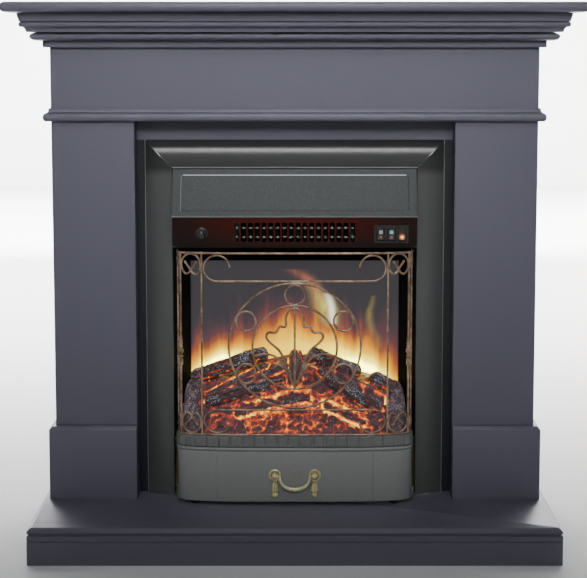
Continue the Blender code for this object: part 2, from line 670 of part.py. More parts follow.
def ash_pan_cover():
    """Pull-off cover with a bead along its top, two rosettes and the drop handle between them."""
    low = BASE_TOP_Z + CASING_LIFT - 0.0005
    high = SHELF_TOP_Z - 0.0012
    edges = [front_point(share, COVER_INSET)[0] for share in np.linspace(0, 1, 401)]
    seam = float(np.interp(SEAM_X, edges, np.linspace(0, 1, 401)))
    lip = SEAM_WIDTH / 2 / FRONT_HALF
    stations = {float(share): 0.0 for share in np.linspace(-1, 1, FRONT_STEPS) if abs(abs(share) - seam) > 2 * lip}
    for side in (-1, 1):
        stations.update({side * (seam - lip): 0.0, side * seam: SEAM_DEPTH, side * (seam + lip): 0.0})

    def outline(share):
        face = COVER_INSET + stations[share]
        return [(face, low), (face, high - 0.0075), (face + 0.0012, high - 0.0065),
                (face + 0.0004, high - 0.0052), (face - COVER_BEAD * 0.45, high - 0.0035),
                (face - COVER_BEAD * 0.35, high - 0.0014), (face + 0.0004, high), (COVER_INSET + SHEET, high),
                (COVER_INSET + SHEET, low)]
    piece("ash_pan_cover", front_strip(outline, sorted(stations)), BLACK_STEEL)

    axis_z = BASE_TOP_Z + HANDLE_LIFT
    face_y = FRONT_Y + COVER_INSET - GAP
    axis_y = face_y - HANDLE_STANDOFF
    hole = BAIL_PIN + SHAFT_CLEARANCE
    for name, side in (("left", -1), ("right", 1)):
        x = side * HANDLE_SPACING / 2
        profile = [(ROSETTE_RADIUS, 0), (ROSETTE_RADIUS, -0.0008), (ROSETTE_RADIUS * 0.88, -0.0018),
                   (ROSETTE_RADIUS * 0.7, -0.0012), (ROSETTE_RADIUS * 0.42, -0.0020),
                   (ROSETTE_RADIUS * 0.32, -0.0036)]
        profile += [(BALL_RADIUS * math.sin(a), -HANDLE_STANDOFF + BALL_RADIUS * math.cos(a))
                    for a in np.radians((45, 75, 105, 135, 165))]
        rosette = weld(f"rosette_{name}", [turned(profile, "Y", (x, face_y, axis_z), 12), tassel(x, face_y, axis_z)],
                       BRASS)
        bore = turned([(hole, -0.006), (hole, 0.0012)], "X", (x, axis_y, axis_z), 8) if side > 0 else \
            turned([(hole, -0.0012), (hole, 0.006)], "X", (x, axis_y, axis_z), 8)
        cut(rosette, bore)

    half = HANDLE_SPACING / 2
    tip = half - BALL_RADIUS + 0.0030
    arm = half - BALL_RADIUS - GAP - BAIL_WIRE * 0.8
    path, radii = [(-tip, axis_y, axis_z), (-arm, axis_y, axis_z)], [BAIL_PIN, BAIL_PIN]
    for x, z, radius in ((0.97, 0.05, 0.55), (0.91, 0.28, 0.68), (0.80, 0.55, 0.80), (0.62, 0.80, 1.00),
                         (0.36, 0.95, 1.22), (0.0, 1.0, 1.36)):
        path.append((-arm * x, axis_y, axis_z - BAIL_DROP * z))
        radii.append(BAIL_WIRE * radius)
    path += [(-x, y, z) for x, y, z in path[-2::-1]]
    radii += radii[-2::-1]
    bail = piece("bail_handle", tube(path, radii, 8), BRASS)
    hang_on(bail, (0, axis_y, axis_z))


def heater():
    """Hood, slotted fascia, dimmer, rocker switches, cross-flow fan and element."""
    slope_top = (LIP_Y + HOOD_SLOPE, HOOD_TOP_Z)
    back_y = GLASS_Y - 0.002
    outer = [(back_y, HOOD_TOP_Z), slope_top, (LIP_Y, LIP_Z + 0.0015), (LIP_Y + 0.0004, LIP_Z),
             (back_y, LIP_Z)]
    hood = piece("hood_cover", along_x(outer, -HOOD_HALF, HOOD_HALF), HOOD_STEEL)
    lean = math.atan2(HOOD_SLOPE, HOOD_HEIGHT)
    wall = SHEET / math.cos(lean)
    inner = [(back_y + 0.01, HOOD_TOP_Z - SHEET), (slope_top[0] + wall, HOOD_TOP_Z - SHEET),
             (LIP_Y + wall + 0.0008, LIP_Z + SHEET), (LIP_Y + 0.006, LIP_Z - 0.01), (back_y + 0.01, LIP_Z - 0.01)]
    cut(hood, along_x(inner, -HOOD_HALF + SHEET, HOOD_HALF - SHEET))
    slope_length = math.hypot(HOOD_SLOPE, HOOD_HEIGHT)
    middle = Vector((0, (slope_top[0] + LIP_Y) / 2, (HOOD_TOP_Z + LIP_Z) / 2))
    up = Vector((0, HOOD_SLOPE, HOOD_HEIGHT)).normalized()
    out = Vector((0, -up.z, up.y))
    rings = []
    for shrink, raise_by in ((0, -SHEET * 0.5), (0, PANEL_RAISE * 0.3), (0.0012, PANEL_RAISE)):
        outline = rounded_outline(HOOD_HALF * 0.93 - shrink, slope_length * 0.37 - shrink, 0.006 - shrink)
        rings.append([middle + Vector((u, 0, 0)) + up * v + out * raise_by for u, v in outline])
    combine(hood, [piece("panel", skin(rings), HOOD_STEEL)], "UNION")

    top_z = LIP_Z - GAP
    half = HOOD_HALF - 0.001
    corner = FASCIA_CORNER
    outline = [(half, top_z), (-half, top_z)]
    outline += [(x, z) for x, z in arc((-half + corner, FASCIA_Z + corner), (corner, corner), 180, 270, 5)]
    outline += [(x, z) for x, z in arc((half - corner, FASCIA_Z + corner), (corner, corner), 270, 360, 5)]
    slot_z = FASCIA_Z + SLOT_LIFT
    first = -(SLOTS - 1) / 2 * SLOT_PITCH
    holes = [rounded_outline(SLOT_WIDTH / 2, SLOT_HEIGHT / 2, 0.0020, 1, (first + index * SLOT_PITCH, slot_z))
             for index in range(SLOTS)]
    holes.append(circle_points(SHAFT_RADIUS + SHAFT_CLEARANCE, 12, (KNOB_X, CONTROL_Z)))
    window = ROCKER_WIDTH + 2 * ROCKER_CLEARANCE
    block_half = SWITCH_PITCH * (SWITCHES - 1) / 2 + window / 2 + 0.0020
    block_tall = ROCKER_HEIGHT / 2 + ROCKER_CLEARANCE + 0.0018
    holes.append([(SWITCH_X + sx * (block_half + GAP), CONTROL_Z + sz * (block_tall + GAP))
                  for sx, sz in ((1, 1), (-1, 1), (-1, -1), (1, -1))])
    piece("outlet_fascia", plate(outline, holes, lambda u, v, w: (u, FASCIA_Y + w, v), SHEET), BLACK_STEEL)

    base_y = FASCIA_Y - GAP
    bore = SHAFT_RADIUS + SHAFT_CLEARANCE
    tip_y = -KNOB_LENGTH
    profile = [(bore, tip_y + 0.0020), (bore, 0), (KNOB_RADIUS, 0), (KNOB_RADIUS, -0.0012),
               (KNOB_RADIUS * 0.8, -0.0026), (KNOB_RADIUS * 0.62, -0.0030), (KNOB_RADIUS * 0.58, tip_y + 0.0008),
               (KNOB_RADIUS * 0.5, tip_y)]
    knob = piece("dimmer_knob", turned(profile, "Y", (KNOB_X, base_y, CONTROL_Z), 16), BLACK_PLASTIC)
    pointer = box((KNOB_X - 0.0005, base_y + tip_y - 0.01, CONTROL_Z + 0.0012),
                  (KNOB_X + 0.0005, base_y + tip_y + 0.0005, CONTROL_Z + KNOB_RADIUS * 0.6))
    cut(knob, pointer)
    hang_on(knob, (KNOB_X, base_y, CONTROL_Z))
    behind_y = FASCIA_Y + SHEET + GAP
    shaft_tip = base_y + tip_y + 0.0020 + GAP * 2 - behind_y
    profile = [(0.009, 0.014), (0.009, 0.0), (SHAFT_RADIUS, 0.0), (SHAFT_RADIUS, shaft_tip)]
    piece("dimmer", turned(profile, "Y", (KNOB_X, behind_y, CONTROL_Z), 12), GALVANISED)

    pocket_y = FASCIA_Y + 0.012
    pivot_y = FASCIA_Y + 0.0010
    block = weld("switch_block", [
        box((SWITCH_X - block_half - 0.0015, base_y - 0.0018, CONTROL_Z - block_tall - 0.0015),
            (SWITCH_X + block_half + 0.0015, base_y, CONTROL_Z + block_tall + 0.0015)),
        box((SWITCH_X - block_half, base_y - 0.0010, CONTROL_Z - block_tall),
            (SWITCH_X + block_half, pocket_y + 0.008, CONTROL_Z + block_tall))], BLACK_PLASTIC)
    pockets = []
    for index in range(SWITCHES):
        x = SWITCH_X + (index - (SWITCHES - 1) / 2) * SWITCH_PITCH
        tall = ROCKER_HEIGHT / 2 + ROCKER_CLEARANCE
        pockets.append(box((x - window / 2, base_y - 0.01, CONTROL_Z - tall), (x + window / 2, pocket_y,
                                                                             CONTROL_Z + tall)))
    reach = SWITCH_PITCH * (SWITCHES - 1) / 2 + window / 2 + 0.0012
    pin_bore = ROCKER_PIN + SHAFT_CLEARANCE
    pockets.append(turned([(pin_bore, -reach), (pin_bore, reach)], "X", (SWITCH_X, pivot_y, CONTROL_Z), 8))
    cut(block, *pockets)
    for index in range(SWITCHES):
        x = SWITCH_X + (index - (SWITCHES - 1) / 2) * SWITCH_PITCH
        h = ROCKER_HEIGHT / 2
        side_view = [(-0.0062, h - 0.0002), (-0.0064, h - 0.0012), (-0.0044, 0), (-0.0064, -h + 0.0012),
                     (-0.0062, -h + 0.0002), (0.0010, -h + 0.0016), (0.0038, -h * 0.45), (0.0038, h * 0.45),
                     (0.0010, h - 0.0016)]
        body = along_x([(pivot_y + y, CONTROL_Z + z) for y, z in side_view],
                       x - ROCKER_WIDTH / 2, x + ROCKER_WIDTH / 2)
        length = ROCKER_WIDTH / 2 + ROCKER_CLEARANCE + 0.0008
        pin = turned([(ROCKER_PIN, -length), (ROCKER_PIN, length)], "X", (x, pivot_y, CONTROL_Z), 8)
        finish = LIT_PLASTIC if index == SWITCHES - 1 else BLACK_PLASTIC
        rocker = hang_on(weld(f"rocker_switch_{index + 1}", [body, pin], finish), (x, pivot_y, CONTROL_Z))
        rocker.data.transform(Matrix.Rotation(-ROCKER_TILT, 4, "X"))

    shelf_top = HEATER_SHELF_Z + SHEET
    piece("heater_shelf", box((-half, FASCIA_Y + SHEET + GAP, HEATER_SHELF_Z),
                              (half, GLASS_Y + GLASS_THICKNESS, shelf_top)), GALVANISED)
    axis_y = GLASS_Y - FAN_RADIUS - FAN_BACK
    axis_z = shelf_top + GAP + FAN_RADIUS + SCROLL_GAP
    element_y = FASCIA_Y + SHEET + ELEMENT_PLAY
    fan(axis_y, axis_z, element_y + ELEMENT_DEPTH + MOUTH_PLAY)
    element(element_y, shelf_top + GAP)


def fan(axis_y, axis_z, mouth_y):
    """Cross-flow fan: scroll housing, bladed impeller and motor."""
    scroll_start, scroll_end = FAN_RADIUS + SCROLL_GAP, FAN_RADIUS + 0.0030
    angles = np.radians(np.linspace(-90, 62, 9))
    radii = np.linspace(scroll_start, scroll_end, 9)
    outer = [(mouth_y, axis_z - scroll_start)]
    outer += [(axis_y + r * math.cos(a), axis_z + r * math.sin(a)) for a, r in zip(angles, radii)]
    inner = [(axis_y + (r - 0.0012) * math.cos(a), axis_z + (r - 0.0012) * math.sin(a))
             for a, r in zip(angles, radii)]
    inner = [(mouth_y, axis_z - scroll_start + 0.0012)] + inner
    half = FAN_HOUSING_LENGTH / 2
    wall = along_x(outer + inner[::-1], -half + 0.0005, half - 0.0005)
    tongue = [(mouth_y, axis_z + 0.0095), (axis_y - FAN_RADIUS - 0.0030, axis_z + 0.0040),
              (axis_y - FAN_RADIUS - 0.0018, axis_z + 0.0052), (axis_y - FAN_RADIUS - 0.0020, axis_z + 0.0072),
              (mouth_y, axis_z + 0.0108)]
    cheek = [(mouth_y, axis_z - scroll_start), (axis_y, axis_z - scroll_start)]
    cheek += arc((axis_y, axis_z), (scroll_start, scroll_start), -80, 110, 7)
    cheek += [(mouth_y, axis_z + 0.0108)]
    shaft_hole = circle_points(FAN_SHAFT + SHAFT_CLEARANCE, 8, (axis_y, axis_z))
    cheeks = [plate(cheek, [shaft_hole], lambda u, v, w, s=side: (s * (half - w), u, v), 0.0012)
              for side in (-1, 1)]
    weld("fan_housing", [wall, along_x(tongue, -half + 0.0005, half - 0.0005)] + cheeks, GALVANISED)

    parts = []
    reach = FAN_LENGTH / 2
    for x in (-reach, 0.0, reach - 0.0015):
        parts.append(turned([(FAN_RADIUS, 0), (FAN_RADIUS, 0.0015)], "X", (x, axis_y, axis_z), 16))
    for index in range(FAN_BLADES):
        angle = 2 * math.pi * index / FAN_BLADES
        blade = []
        for radius, twist, side in ((0.0165, 0.00, -1), (0.0210, 0.30, -1), (0.0210, 0.30, 1),
                                    (0.0165, 0.00, 1)):
            bearing = angle + twist + side * 0.0005 / radius
            blade.append((axis_y + radius * math.cos(bearing), axis_z + radius * math.sin(bearing)))
        parts.append(along_x(blade, -reach + 0.0005, reach - 0.0005))
    parts.append(turned([(FAN_SHAFT, -half - 0.0006), (FAN_SHAFT, half + 0.010)], "X",
                        (0, axis_y, axis_z), 8))
    hang_on(weld("fan_impeller", parts, GALVANISED), (0, axis_y, axis_z))

    start = half + GAP
    stack = along_x(rounded_outline(0.017, 0.017, 0.003, 2, (axis_y, axis_z)), start + 0.004, start + 0.018)
    boss = turned([(0.009, start), (0.011, start + 0.003), (0.011, start + 0.022), (0.008, start + 0.024)],
                  "X", (0, axis_y, axis_z), 14)
    motor = weld("fan_motor", [stack, boss], COPPER)
    bore = FAN_SHAFT + SHAFT_CLEARANCE
    cut(motor, turned([(bore, start - 0.002), (bore, start + 0.012)], "X", (0, axis_y, axis_z), 10))


def element(front_y, floor_z):
    """Mica and wire element behind the slots."""
    half = ELEMENT_LENGTH / 2
    card_low, card_high = floor_z + 0.004, floor_z + 0.040
    parts = []
    for x in np.linspace(-half, half - 0.0012, 5):
        low = floor_z if abs(abs(x + 0.0006) - half) < 0.001 else card_low
        parts.append(box((x, front_y, low), (x + 0.0012, front_y + ELEMENT_DEPTH, card_high)))
    for z in (floor_z + 0.015, floor_z + 0.030):
        parts.append(turned([(0.0016, -half - 0.001), (0.0016, half + 0.001)], "X",
                            (0, front_y + ELEMENT_DEPTH / 2, z), 6))
    weld("heating_element", parts, GALVANISED)


def flame_effect():
    """Liner, smoked screen, spindle with its reflector tabs, motor, bush and rear reflector."""
    foot_z = SHELF_TOP_Z + GAP
    top_z = HEATER_SHELF_Z - GAP
    liner = [box((-GLASS_HALF - 0.004, GLASS_Y - 0.006, top_z - LEDGE_HEIGHT),
                 (GLASS_HALF + 0.004, GLASS_Y - GAP, top_z))]
    for side in (-1, 1):
        wedge = [(OPENING_HALF - 0.0005, TRIM_Y - TRIM_PROUD + 0.004), (GLASS_HALF, GLASS_Y - GAP),
                 (OPENING_HALF - 0.0005, GLASS_Y - GAP)]
        liner.append(along_z([(side * x, y) for x, y in wedge], foot_z, top_z))
    weld("firebox_liner", liner, BLACK_STEEL)
    piece("flame_screen", box((-GLASS_HALF - 0.006, GLASS_Y, foot_z),
                              (GLASS_HALF + 0.006, GLASS_Y + GLASS_THICKNESS, top_z)), SMOKED_GLASS)

    axis_y = RECESS_Y + SPINDLE_SETBACK
    axis_z = SHELF_TOP_Z + SPINDLE_LIFT
    half = GLASS_HALF - 0.012
    parts = [turned([(SPINDLE_RADIUS, -half - 0.004), (SPINDLE_RADIUS, half + 0.004)], "X",
                    (0, axis_y, axis_z), 8)]
    for index, x in enumerate(np.linspace(-half + 0.018, half - 0.018, SPINDLE_TABS)):
        turn = Matrix.Rotation(math.radians(55 * index), 4, "X")
        flat = [(-0.011, SPINDLE_RADIUS * 0.3), (0.011, SPINDLE_RADIUS * 0.3), (0.007, SPINDLE_TAB_REACH),
                (-0.004, SPINDLE_TAB_REACH * 0.8)]
        for flip in (1, -1):
            rings = [[Vector((x, axis_y, axis_z)) + turn @ Vector((u, w, flip * v)) for u, v in flat]
                     for w in (-0.0004, 0.0004)]
            parts.append(skin(rings))
    hang_on(weld("flame_spindle", parts, GALVANISED), (0, axis_y, axis_z))

    hole = circle_points(SPINDLE_RADIUS + SHAFT_CLEARANCE, 10, (axis_y, axis_z))
    bracket = [(axis_y - 0.012, foot_z), (axis_y + 0.012, foot_z), (axis_y + 0.012, axis_z + 0.004),
               (axis_y + 0.005, axis_z + 0.011), (axis_y - 0.005, axis_z + 0.011), (axis_y - 0.012, axis_z + 0.004)]
    piece("spindle_bush", plate(bracket, [hole], lambda u, v, w: (-half - w, u, v), 0.003), BLACK_PLASTIC)
    carrier = plate(bracket, [hole], lambda u, v, w: (half + w, u, v), 0.003)
    can = turned([(0.019, half + 0.0025), (0.021, half + 0.004), (0.021, half + 0.017), (0.019, half + 0.0185)],
                 "X", (0, axis_y, axis_z), 20)
    motor = weld("spindle_motor", [carrier, can], GALVANISED)
    bore = SPINDLE_RADIUS + SHAFT_CLEARANCE
    cut(motor, turned([(bore, half - 0.002), (bore, half + 0.008)], "X", (0, axis_y, axis_z), 10))

    sheet = 0.0012
    back = RECESS_Y + CHASSIS_BACK - 0.006
    lean = [(back - 0.030 * s * s, foot_z + (top_z - 0.030 - foot_z) * s) for s in np.linspace(0, 1, 7)]
    outline = lean + [(y - sheet, z) for y, z in lean[::-1]]
    piece("flame_reflector", along_x(outline, -GLASS_HALF, GLASS_HALF), GALVANISED)


def mound(x, depth):
    """Height of the ember bed without its lumps, at x and a depth share from 0 (front) to 1 (flame screen)."""
    rim_x = np.array([-0.188, -0.120, -0.060, -0.008, 0.050, 0.100, 0.188])
    rim_z = BASE_TOP_Z + np.array([0.190, 0.204, 0.222, 0.234, 0.224, 0.208, 0.184])
    front_z = FRET_TOP_Z + BED_LIFT
    return front_z + (float(np.interp(x, rim_x, rim_z)) - front_z) * (1 - (1 - depth) ** 1.5)


def fuel_bed():
    """Lumpy ember moulding with a skirt, and the logs that lie in seats moulded into it."""
    base_z = SHELF_TOP_Z + GAP
    bed_inset = FRET_THICKNESS + BED_INSET
    back_y = GLASS_Y - 0.0008
    rows, columns = 7, 24
    lumps = random.Random(7)
    top, bottom = [], []
    for row in range(rows + 1):
        v = row / rows
        top_row, bottom_row = [], []
        for column in range(columns + 1):
            u = -1 + 2 * column / columns
            fx, fy = front_point(u, bed_inset)
            bx = u * (GLASS_HALF - 0.0012)
            x, y = fx + (bx - fx) * v, fy + (back_y - fy) * v
            z = mound(x, v)
            edge = row in (0, rows) or column in (0, columns)
            if not edge:
                z += lumps.uniform(-BED_LUMP, BED_LUMP)
            top_row.append((x, y, z))
            bottom_row.append((x, y, base_z if edge else max(base_z, z - BED_WALL)))
        top.append(top_row)
        bottom.append(bottom_row)
    mesh = bmesh.new()
    upper = [[mesh.verts.new(point) for point in row] for row in top]
    lower = [[mesh.verts.new(point) for point in row] for row in bottom]
    for row in range(rows):
        for column in range(columns):
            for grid, order in ((upper, 1), (lower, -1)):
                quad = (grid[row][column], grid[row][column + 1], grid[row + 1][column + 1],
                        grid[row + 1][column])
                mesh.faces.new(quad[::order])
    border = [(0, c) for c in range(columns)] + [(r, columns) for r in range(rows)]
    border += [(rows, c) for c in range(columns, 0, -1)] + [(r, 0) for r in range(rows, 0, -1)]
    for (r0, c0), (r1, c1) in zip(border, border[1:] + border[:1]):
        mesh.faces.new((upper[r0][c0], lower[r0][c0], lower[r1][c1], upper[r1][c1]))
    bmesh.ops.recalc_face_normals(mesh, faces=mesh.faces)
    bed = piece("ember_bed", mesh, EMBERS, 60)

    # name: first end, second end (x, depth share, axis above the mound), radius
    logs = {
        "log_back_left": ((-0.176, 0.8306, 0.0087), (-0.045, 0.8317, 0.0219), 0.0140),
        "log_front_left": ((-0.150, 0.4070, 0.0003), (-0.012, 0.6007, -0.0082), 0.0125),
        "log_back_right": ((0.024, 0.8041, 0.0210), (0.112, 0.8297, 0.0053), 0.0135),
        "log_front_right": ((0.036, 0.6192, 0.0109), (0.140, 0.3193, -0.0031), 0.0120),
        "log_end_right": ((0.124, 0.7060, 0.0117), (0.172, 0.5570, 0.0101), 0.0165),
    }

    def on_bed(x, depth, lift):
        front_y = plan_y(x, bed_inset)
        return Vector((x, front_y + depth * (back_y - front_y), mound(x, depth) + lift))

    def log_mesh(name, grow=0.0):
        """Knotty stick: rings of uneven radius between its two ends."""
        first, second, radius = logs[name]
        knots = random.Random(name)
        start, end = on_bed(*first), on_bed(*second)
        axis = (end - start).normalized()
        across = axis.cross(Vector((0, 1, 0))).normalized()
        over = axis.cross(across)
        bark = [knots.uniform(0.88, 1.08) for _ in range(9)]
        rings = []
        for share, swell in ((0.0, 0.62), (0.03, 0.90), (0.2, 1.0), (0.4, 0.94), (0.6, 1.03), (0.8, 0.96),
                             (0.97, 0.86), (1.0, 0.55)):
            centre = start + (end - start) * share + over * knots.uniform(-0.0012, 0.0012)
            if share in (0.0, 1.0):
                centre += axis * grow * (1 if share else -1)
            ring = []
            for step in range(9):
                angle = 2 * math.pi * step / 9
                reach = radius * swell * bark[step] * knots.uniform(0.95, 1.05) + grow
                ring.append(centre + reach * (across * math.cos(angle) + over * math.sin(angle)))
            rings.append(ring)
        return skin(rings)

    made = []
    for name in logs:
        log = piece(name, log_mesh(name), CHARRED, 60)
        for earlier in made:
            cut(log, log_mesh(earlier, SEAT_PLAY))
        made.append(name)
        cut(bed, log_mesh(name, SEAT_PLAY))


def screen_y(x):
    """Depth of the wire screen's surface at x."""
    return plan_y(x, SCREEN_INSET)


def wire_screen():
    """Welded wire screen that stands on the fret: frame, two hooked scrolls and the medallion."""
    low_z = FRET_TOP_Z + GAP + WIRE
    high_z = BASE_TOP_Z + SCREEN_TOP
    end_x, end_y = front_point(1.0, SCREEN_INSET)
    bite = WIRE * 0.45            # posts run this far into the rails
    shares = np.concatenate((np.linspace(-1, -0.72, 7), np.linspace(-0.45, 0.45, 4), np.linspace(0.72, 1, 7)))
    plan = [front_point(share, SCREEN_INSET) for share in shares]
    parts = [tube([(x, y, z) for x, y in plan], WIRE, 6) for z in (low_z, high_z)]
    for side in (-1, 1):
        for x, y in ((INNER_POST_X, screen_y(INNER_POST_X)), (end_x - 0.0004, end_y - 0.0006)):
            parts.append(tube([(side * x, y, low_z - bite), (side * x, y, high_z + bite)], WIRE * 0.96, 6))
        post_y = screen_y(POST_X)
        middle = BASE_TOP_Z + 0.258
        turning = [(WIRE, low_z - bite - middle), (WIRE, -0.021)]
        turning += [(WIRE * k, z) for k, z in ((1.5, -0.019), (1.1, -0.0145), (1.7, -0.011), (1.2, -0.0070),
                                               (2.05, -0.002), (2.05, 0.002), (1.2, 0.0070), (1.7, 0.011),
                                               (1.1, 0.0145), (1.5, 0.019))]
        turning += [(WIRE, 0.021), (WIRE, high_z + bite - middle)]
        parts.append(turned(turning, "Z", (side * POST_X, post_y, middle), 6))
        inner = Vector((side * INNER_POST_X, screen_y(INNER_POST_X), 0))
        post = Vector((side * POST_X, post_y, 0))
        rear = Vector((side * end_x, end_y, 0))
        for near, far in ((post, inner), (rear, post)):
            width = (far - near).length
            radius = width / 2 - WIRE * 0.9
            centre = (near + far) / 2
            along = (far - near).normalized()
            for z, flip in ((low_z + WIRE + radius * 1.0, 1), (high_z - WIRE - radius * 1.0, -1)):
                for hand in (-1, 1):
                    path = []
                    for angle in np.radians(np.linspace(-95, 105, 5)):
                        reach = radius * (1.0 if angle < 1.0 else 0.96)
                        path.append((hand * reach * math.cos(angle), reach * math.sin(angle)))
                    path += [(-hand * radius * 0.30, radius * 0.25), (-hand * radius * 0.42, -radius * 0.10)]
                    set_back = along.cross(Vector((0, 0, 1))) * hand * SCROLL_WIRE * 0.45
                    points = [centre + set_back + along * u + Vector((0, 0, z + flip * v)) for u, v in path]
                    parts.append(tube(points, SCROLL_WIRE, 4))
    screen = weld("fire_screen", parts, BRONZE, 50)
    pivot = (0, FRONT_Y, BASE_TOP_Z + MEDALLION_LIFT)
    hang_on(screen, pivot)

    centre_z = BASE_TOP_Z + MEDALLION_LIFT
    touch = WIRE + SCROLL_WIRE + GAP
    hook_x = INNER_POST_X - touch - HOOK_RADIUS
    for name, bar_z, flip in (("top", centre_z + MEDALLION_TALL + touch, 1),
                              ("bottom", centre_z - MEDALLION_TALL - touch, -1)):
        limit = (high_z - touch - bar_z) if flip > 0 else (bar_z - low_z - touch)
        tall = limit / 2
        path = []
        for angle in np.radians(np.linspace(5, 262, 14)):
            path.append((-hook_x + HOOK_RADIUS * math.cos(angle) * 1.0, tall + tall * math.sin(angle)))
        path += [(-hook_x + 0.004, 0.0), (-hook_x * 0.6, 0.0), (-hook_x * 0.3, 0.0)]
        path += [(-x, z) for x, z in path[::-1]]
        points = [(x, screen_y(x), bar_z + flip * z) for x, z in path]
        hang_on(piece(f"screen_scroll_{name}", tube(points, SCROLL_WIRE, 6), BRONZE, 50), pivot)

    def on_screen(pairs, lift=0.0):
        return [(x, screen_y(x), centre_z + lift + z) for x, z in pairs]

    drop = -MEDALLION_DROP
    rings = [tube(on_screen(arc((0, 0), (MEDALLION_WIDE, MEDALLION_TALL), 0, 351, 39)), WIRE, 6, closed=True),
             tube(on_screen(circle_points(INNER_RING, 28), drop), SCROLL_WIRE, 6, closed=True)]
    for angle in np.radians((90, 150, 210, 330, 30)):
        centre = (SMALL_RING_ORBIT * math.cos(angle), SMALL_RING_ORBIT * math.sin(angle))
        rings.append(tube(on_screen(circle_points(SMALL_RING, 12, centre, 0.1), drop), SCROLL_WIRE, 4, closed=True))
    stem = [(0, z) for z in (INNER_RING + 0.0005, 0.0, -INNER_RING - 0.0005)]
    rings.append(tube(on_screen(stem, drop), SCROLL_WIRE, 6))
    leaf = [(0.0008, 0.0640), (0.0090, 0.0585), (0.0139, 0.0475), (0.0137, 0.0365), (0.0162, 0.0326),
            (0.0232, 0.0338), (0.0264, 0.0280), (0.0310, 0.0238), (0.0405, 0.0242), (0.0446, 0.0190),
            (0.0438, 0.0138), (0.0370, 0.0060), (0.0262, -0.0032), (0.0200, -0.0125), (0.0155, -0.0235),
            (0.0124, -0.0325), (0.0088, -0.0433), (0.0004, -0.0640)]
    blade = [(0.0106, -0.0375), (0.0160, -0.0300), (0.0245, -0.0190), (0.0360, -0.0125), (0.0500, -0.0105),
             (0.0632, -0.0137)]
    under = [(0.0088, -0.0440), (0.0150, -0.0360), (0.0230, -0.0290), (0.0320, -0.0255)]
    for side in (-1, 1):
        for path in (leaf, blade, under):
            rings.append(tube(on_screen([(side * x, z) for x, z in path], drop), SCROLL_WIRE, 4))
    hang_on(weld("screen_medallion", rings, BRONZE, 50), pivot)


base()
surround()
trim_frame()
casing()
chassis()
fret()
ash_pan_cover()
heater()
flame_effect()
fuel_bed()
wire_screen()
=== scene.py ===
import math

import bmesh
import bpy
import numpy as np
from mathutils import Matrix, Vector


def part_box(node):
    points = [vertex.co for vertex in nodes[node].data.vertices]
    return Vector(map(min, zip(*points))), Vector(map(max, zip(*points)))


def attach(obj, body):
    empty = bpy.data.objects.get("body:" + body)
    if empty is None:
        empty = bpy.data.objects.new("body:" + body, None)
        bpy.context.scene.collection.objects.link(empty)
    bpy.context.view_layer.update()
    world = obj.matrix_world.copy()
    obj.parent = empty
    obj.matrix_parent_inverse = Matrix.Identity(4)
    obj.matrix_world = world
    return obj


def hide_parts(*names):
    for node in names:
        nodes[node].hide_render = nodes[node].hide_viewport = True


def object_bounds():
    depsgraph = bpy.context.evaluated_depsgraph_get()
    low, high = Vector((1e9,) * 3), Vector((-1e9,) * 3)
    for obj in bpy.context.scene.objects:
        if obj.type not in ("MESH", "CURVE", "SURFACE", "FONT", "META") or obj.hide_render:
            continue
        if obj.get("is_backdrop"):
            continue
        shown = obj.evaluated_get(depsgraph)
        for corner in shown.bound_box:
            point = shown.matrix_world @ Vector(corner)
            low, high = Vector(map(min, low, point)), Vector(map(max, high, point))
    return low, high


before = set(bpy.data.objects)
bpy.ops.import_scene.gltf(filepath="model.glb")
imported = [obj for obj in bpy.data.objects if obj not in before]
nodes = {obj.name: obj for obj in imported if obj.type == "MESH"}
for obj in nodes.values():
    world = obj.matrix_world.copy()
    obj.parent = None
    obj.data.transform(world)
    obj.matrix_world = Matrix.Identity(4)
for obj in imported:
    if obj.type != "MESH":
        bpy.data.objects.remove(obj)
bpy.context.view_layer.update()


# Studio. The camera stands about 2.8 m in front of the suite, with its lens a little below the mantel
# shelf. The floor is pale, and large soft lamps stand in front of the suite, above it and behind it.
camera_data = bpy.data.cameras.new("camera")
camera_data.sensor_width = 36.0
camera_data.lens = 102.85
camera_data.shift_y = -0.08
camera = bpy.data.objects.new("camera", camera_data)
camera.location = (-0.002, -2.765, 0.814)
camera.rotation_euler = (math.radians(90 - 6.65), 0, 0)
bpy.context.scene.collection.objects.link(camera)
bpy.context.scene.camera = camera


def lamp(name, place, aim, size, watts, beam=180, gloss=True):
    """Rectangular soft lamp of a given size in metres, turned to face a point. beam is its spread in
    degrees, and without gloss it makes no highlights."""
    data = bpy.data.lights.new(name, "AREA")
    data.shape = "RECTANGLE"
    data.size, data.size_y = size
    data.energy = watts
    data.spread = math.radians(beam)
    made = bpy.data.objects.new(name, data)
    made.location = place
    made.rotation_euler = (Vector(aim) - Vector(place)).to_track_quat("-Z", "Y").to_euler()
    made.visible_camera = False
    made.visible_glossy = gloss
    bpy.context.scene.collection.objects.link(made)


lamp("lamp_key", (0, -2.4, 1.75), (0, 0, 0.90), (1.5, 0.7), 6.2, beam=46, gloss=False)
lamp("lamp_over", (0, -0.75, 1.60), (0, 0, 0.62), (0.9, 0.20), 0.70, beam=50)
lamp("lamp_front", (0, -2.6, 0.45), (0, 0, 0.45), (1.4, 0.8), 1.8, gloss=False)
lamp("lamp_left", (-2.6, -2.4, 1.5), (0, 0, 0.6), (1.2, 1.6), 1.2)
lamp("lamp_right", (2.6, -2.4, 1.5), (0, 0, 0.6), (1.2, 1.6), 1.2)
lamp("lamp_floor", (0, -3.2, 2.6), (0, -3.2001, 0), (4.0, 1.6), 30, beam=80, gloss=False)
lamp("lamp_behind", (0, 3.7, 3.0), (0, 3.7001, 0), (9.0, 5.0), 900, beam=75)
lamp("lamp_backdrop", (0, 4.0, 2.0), (0, 7.0, 1.4), (9.0, 3.0), 1400)

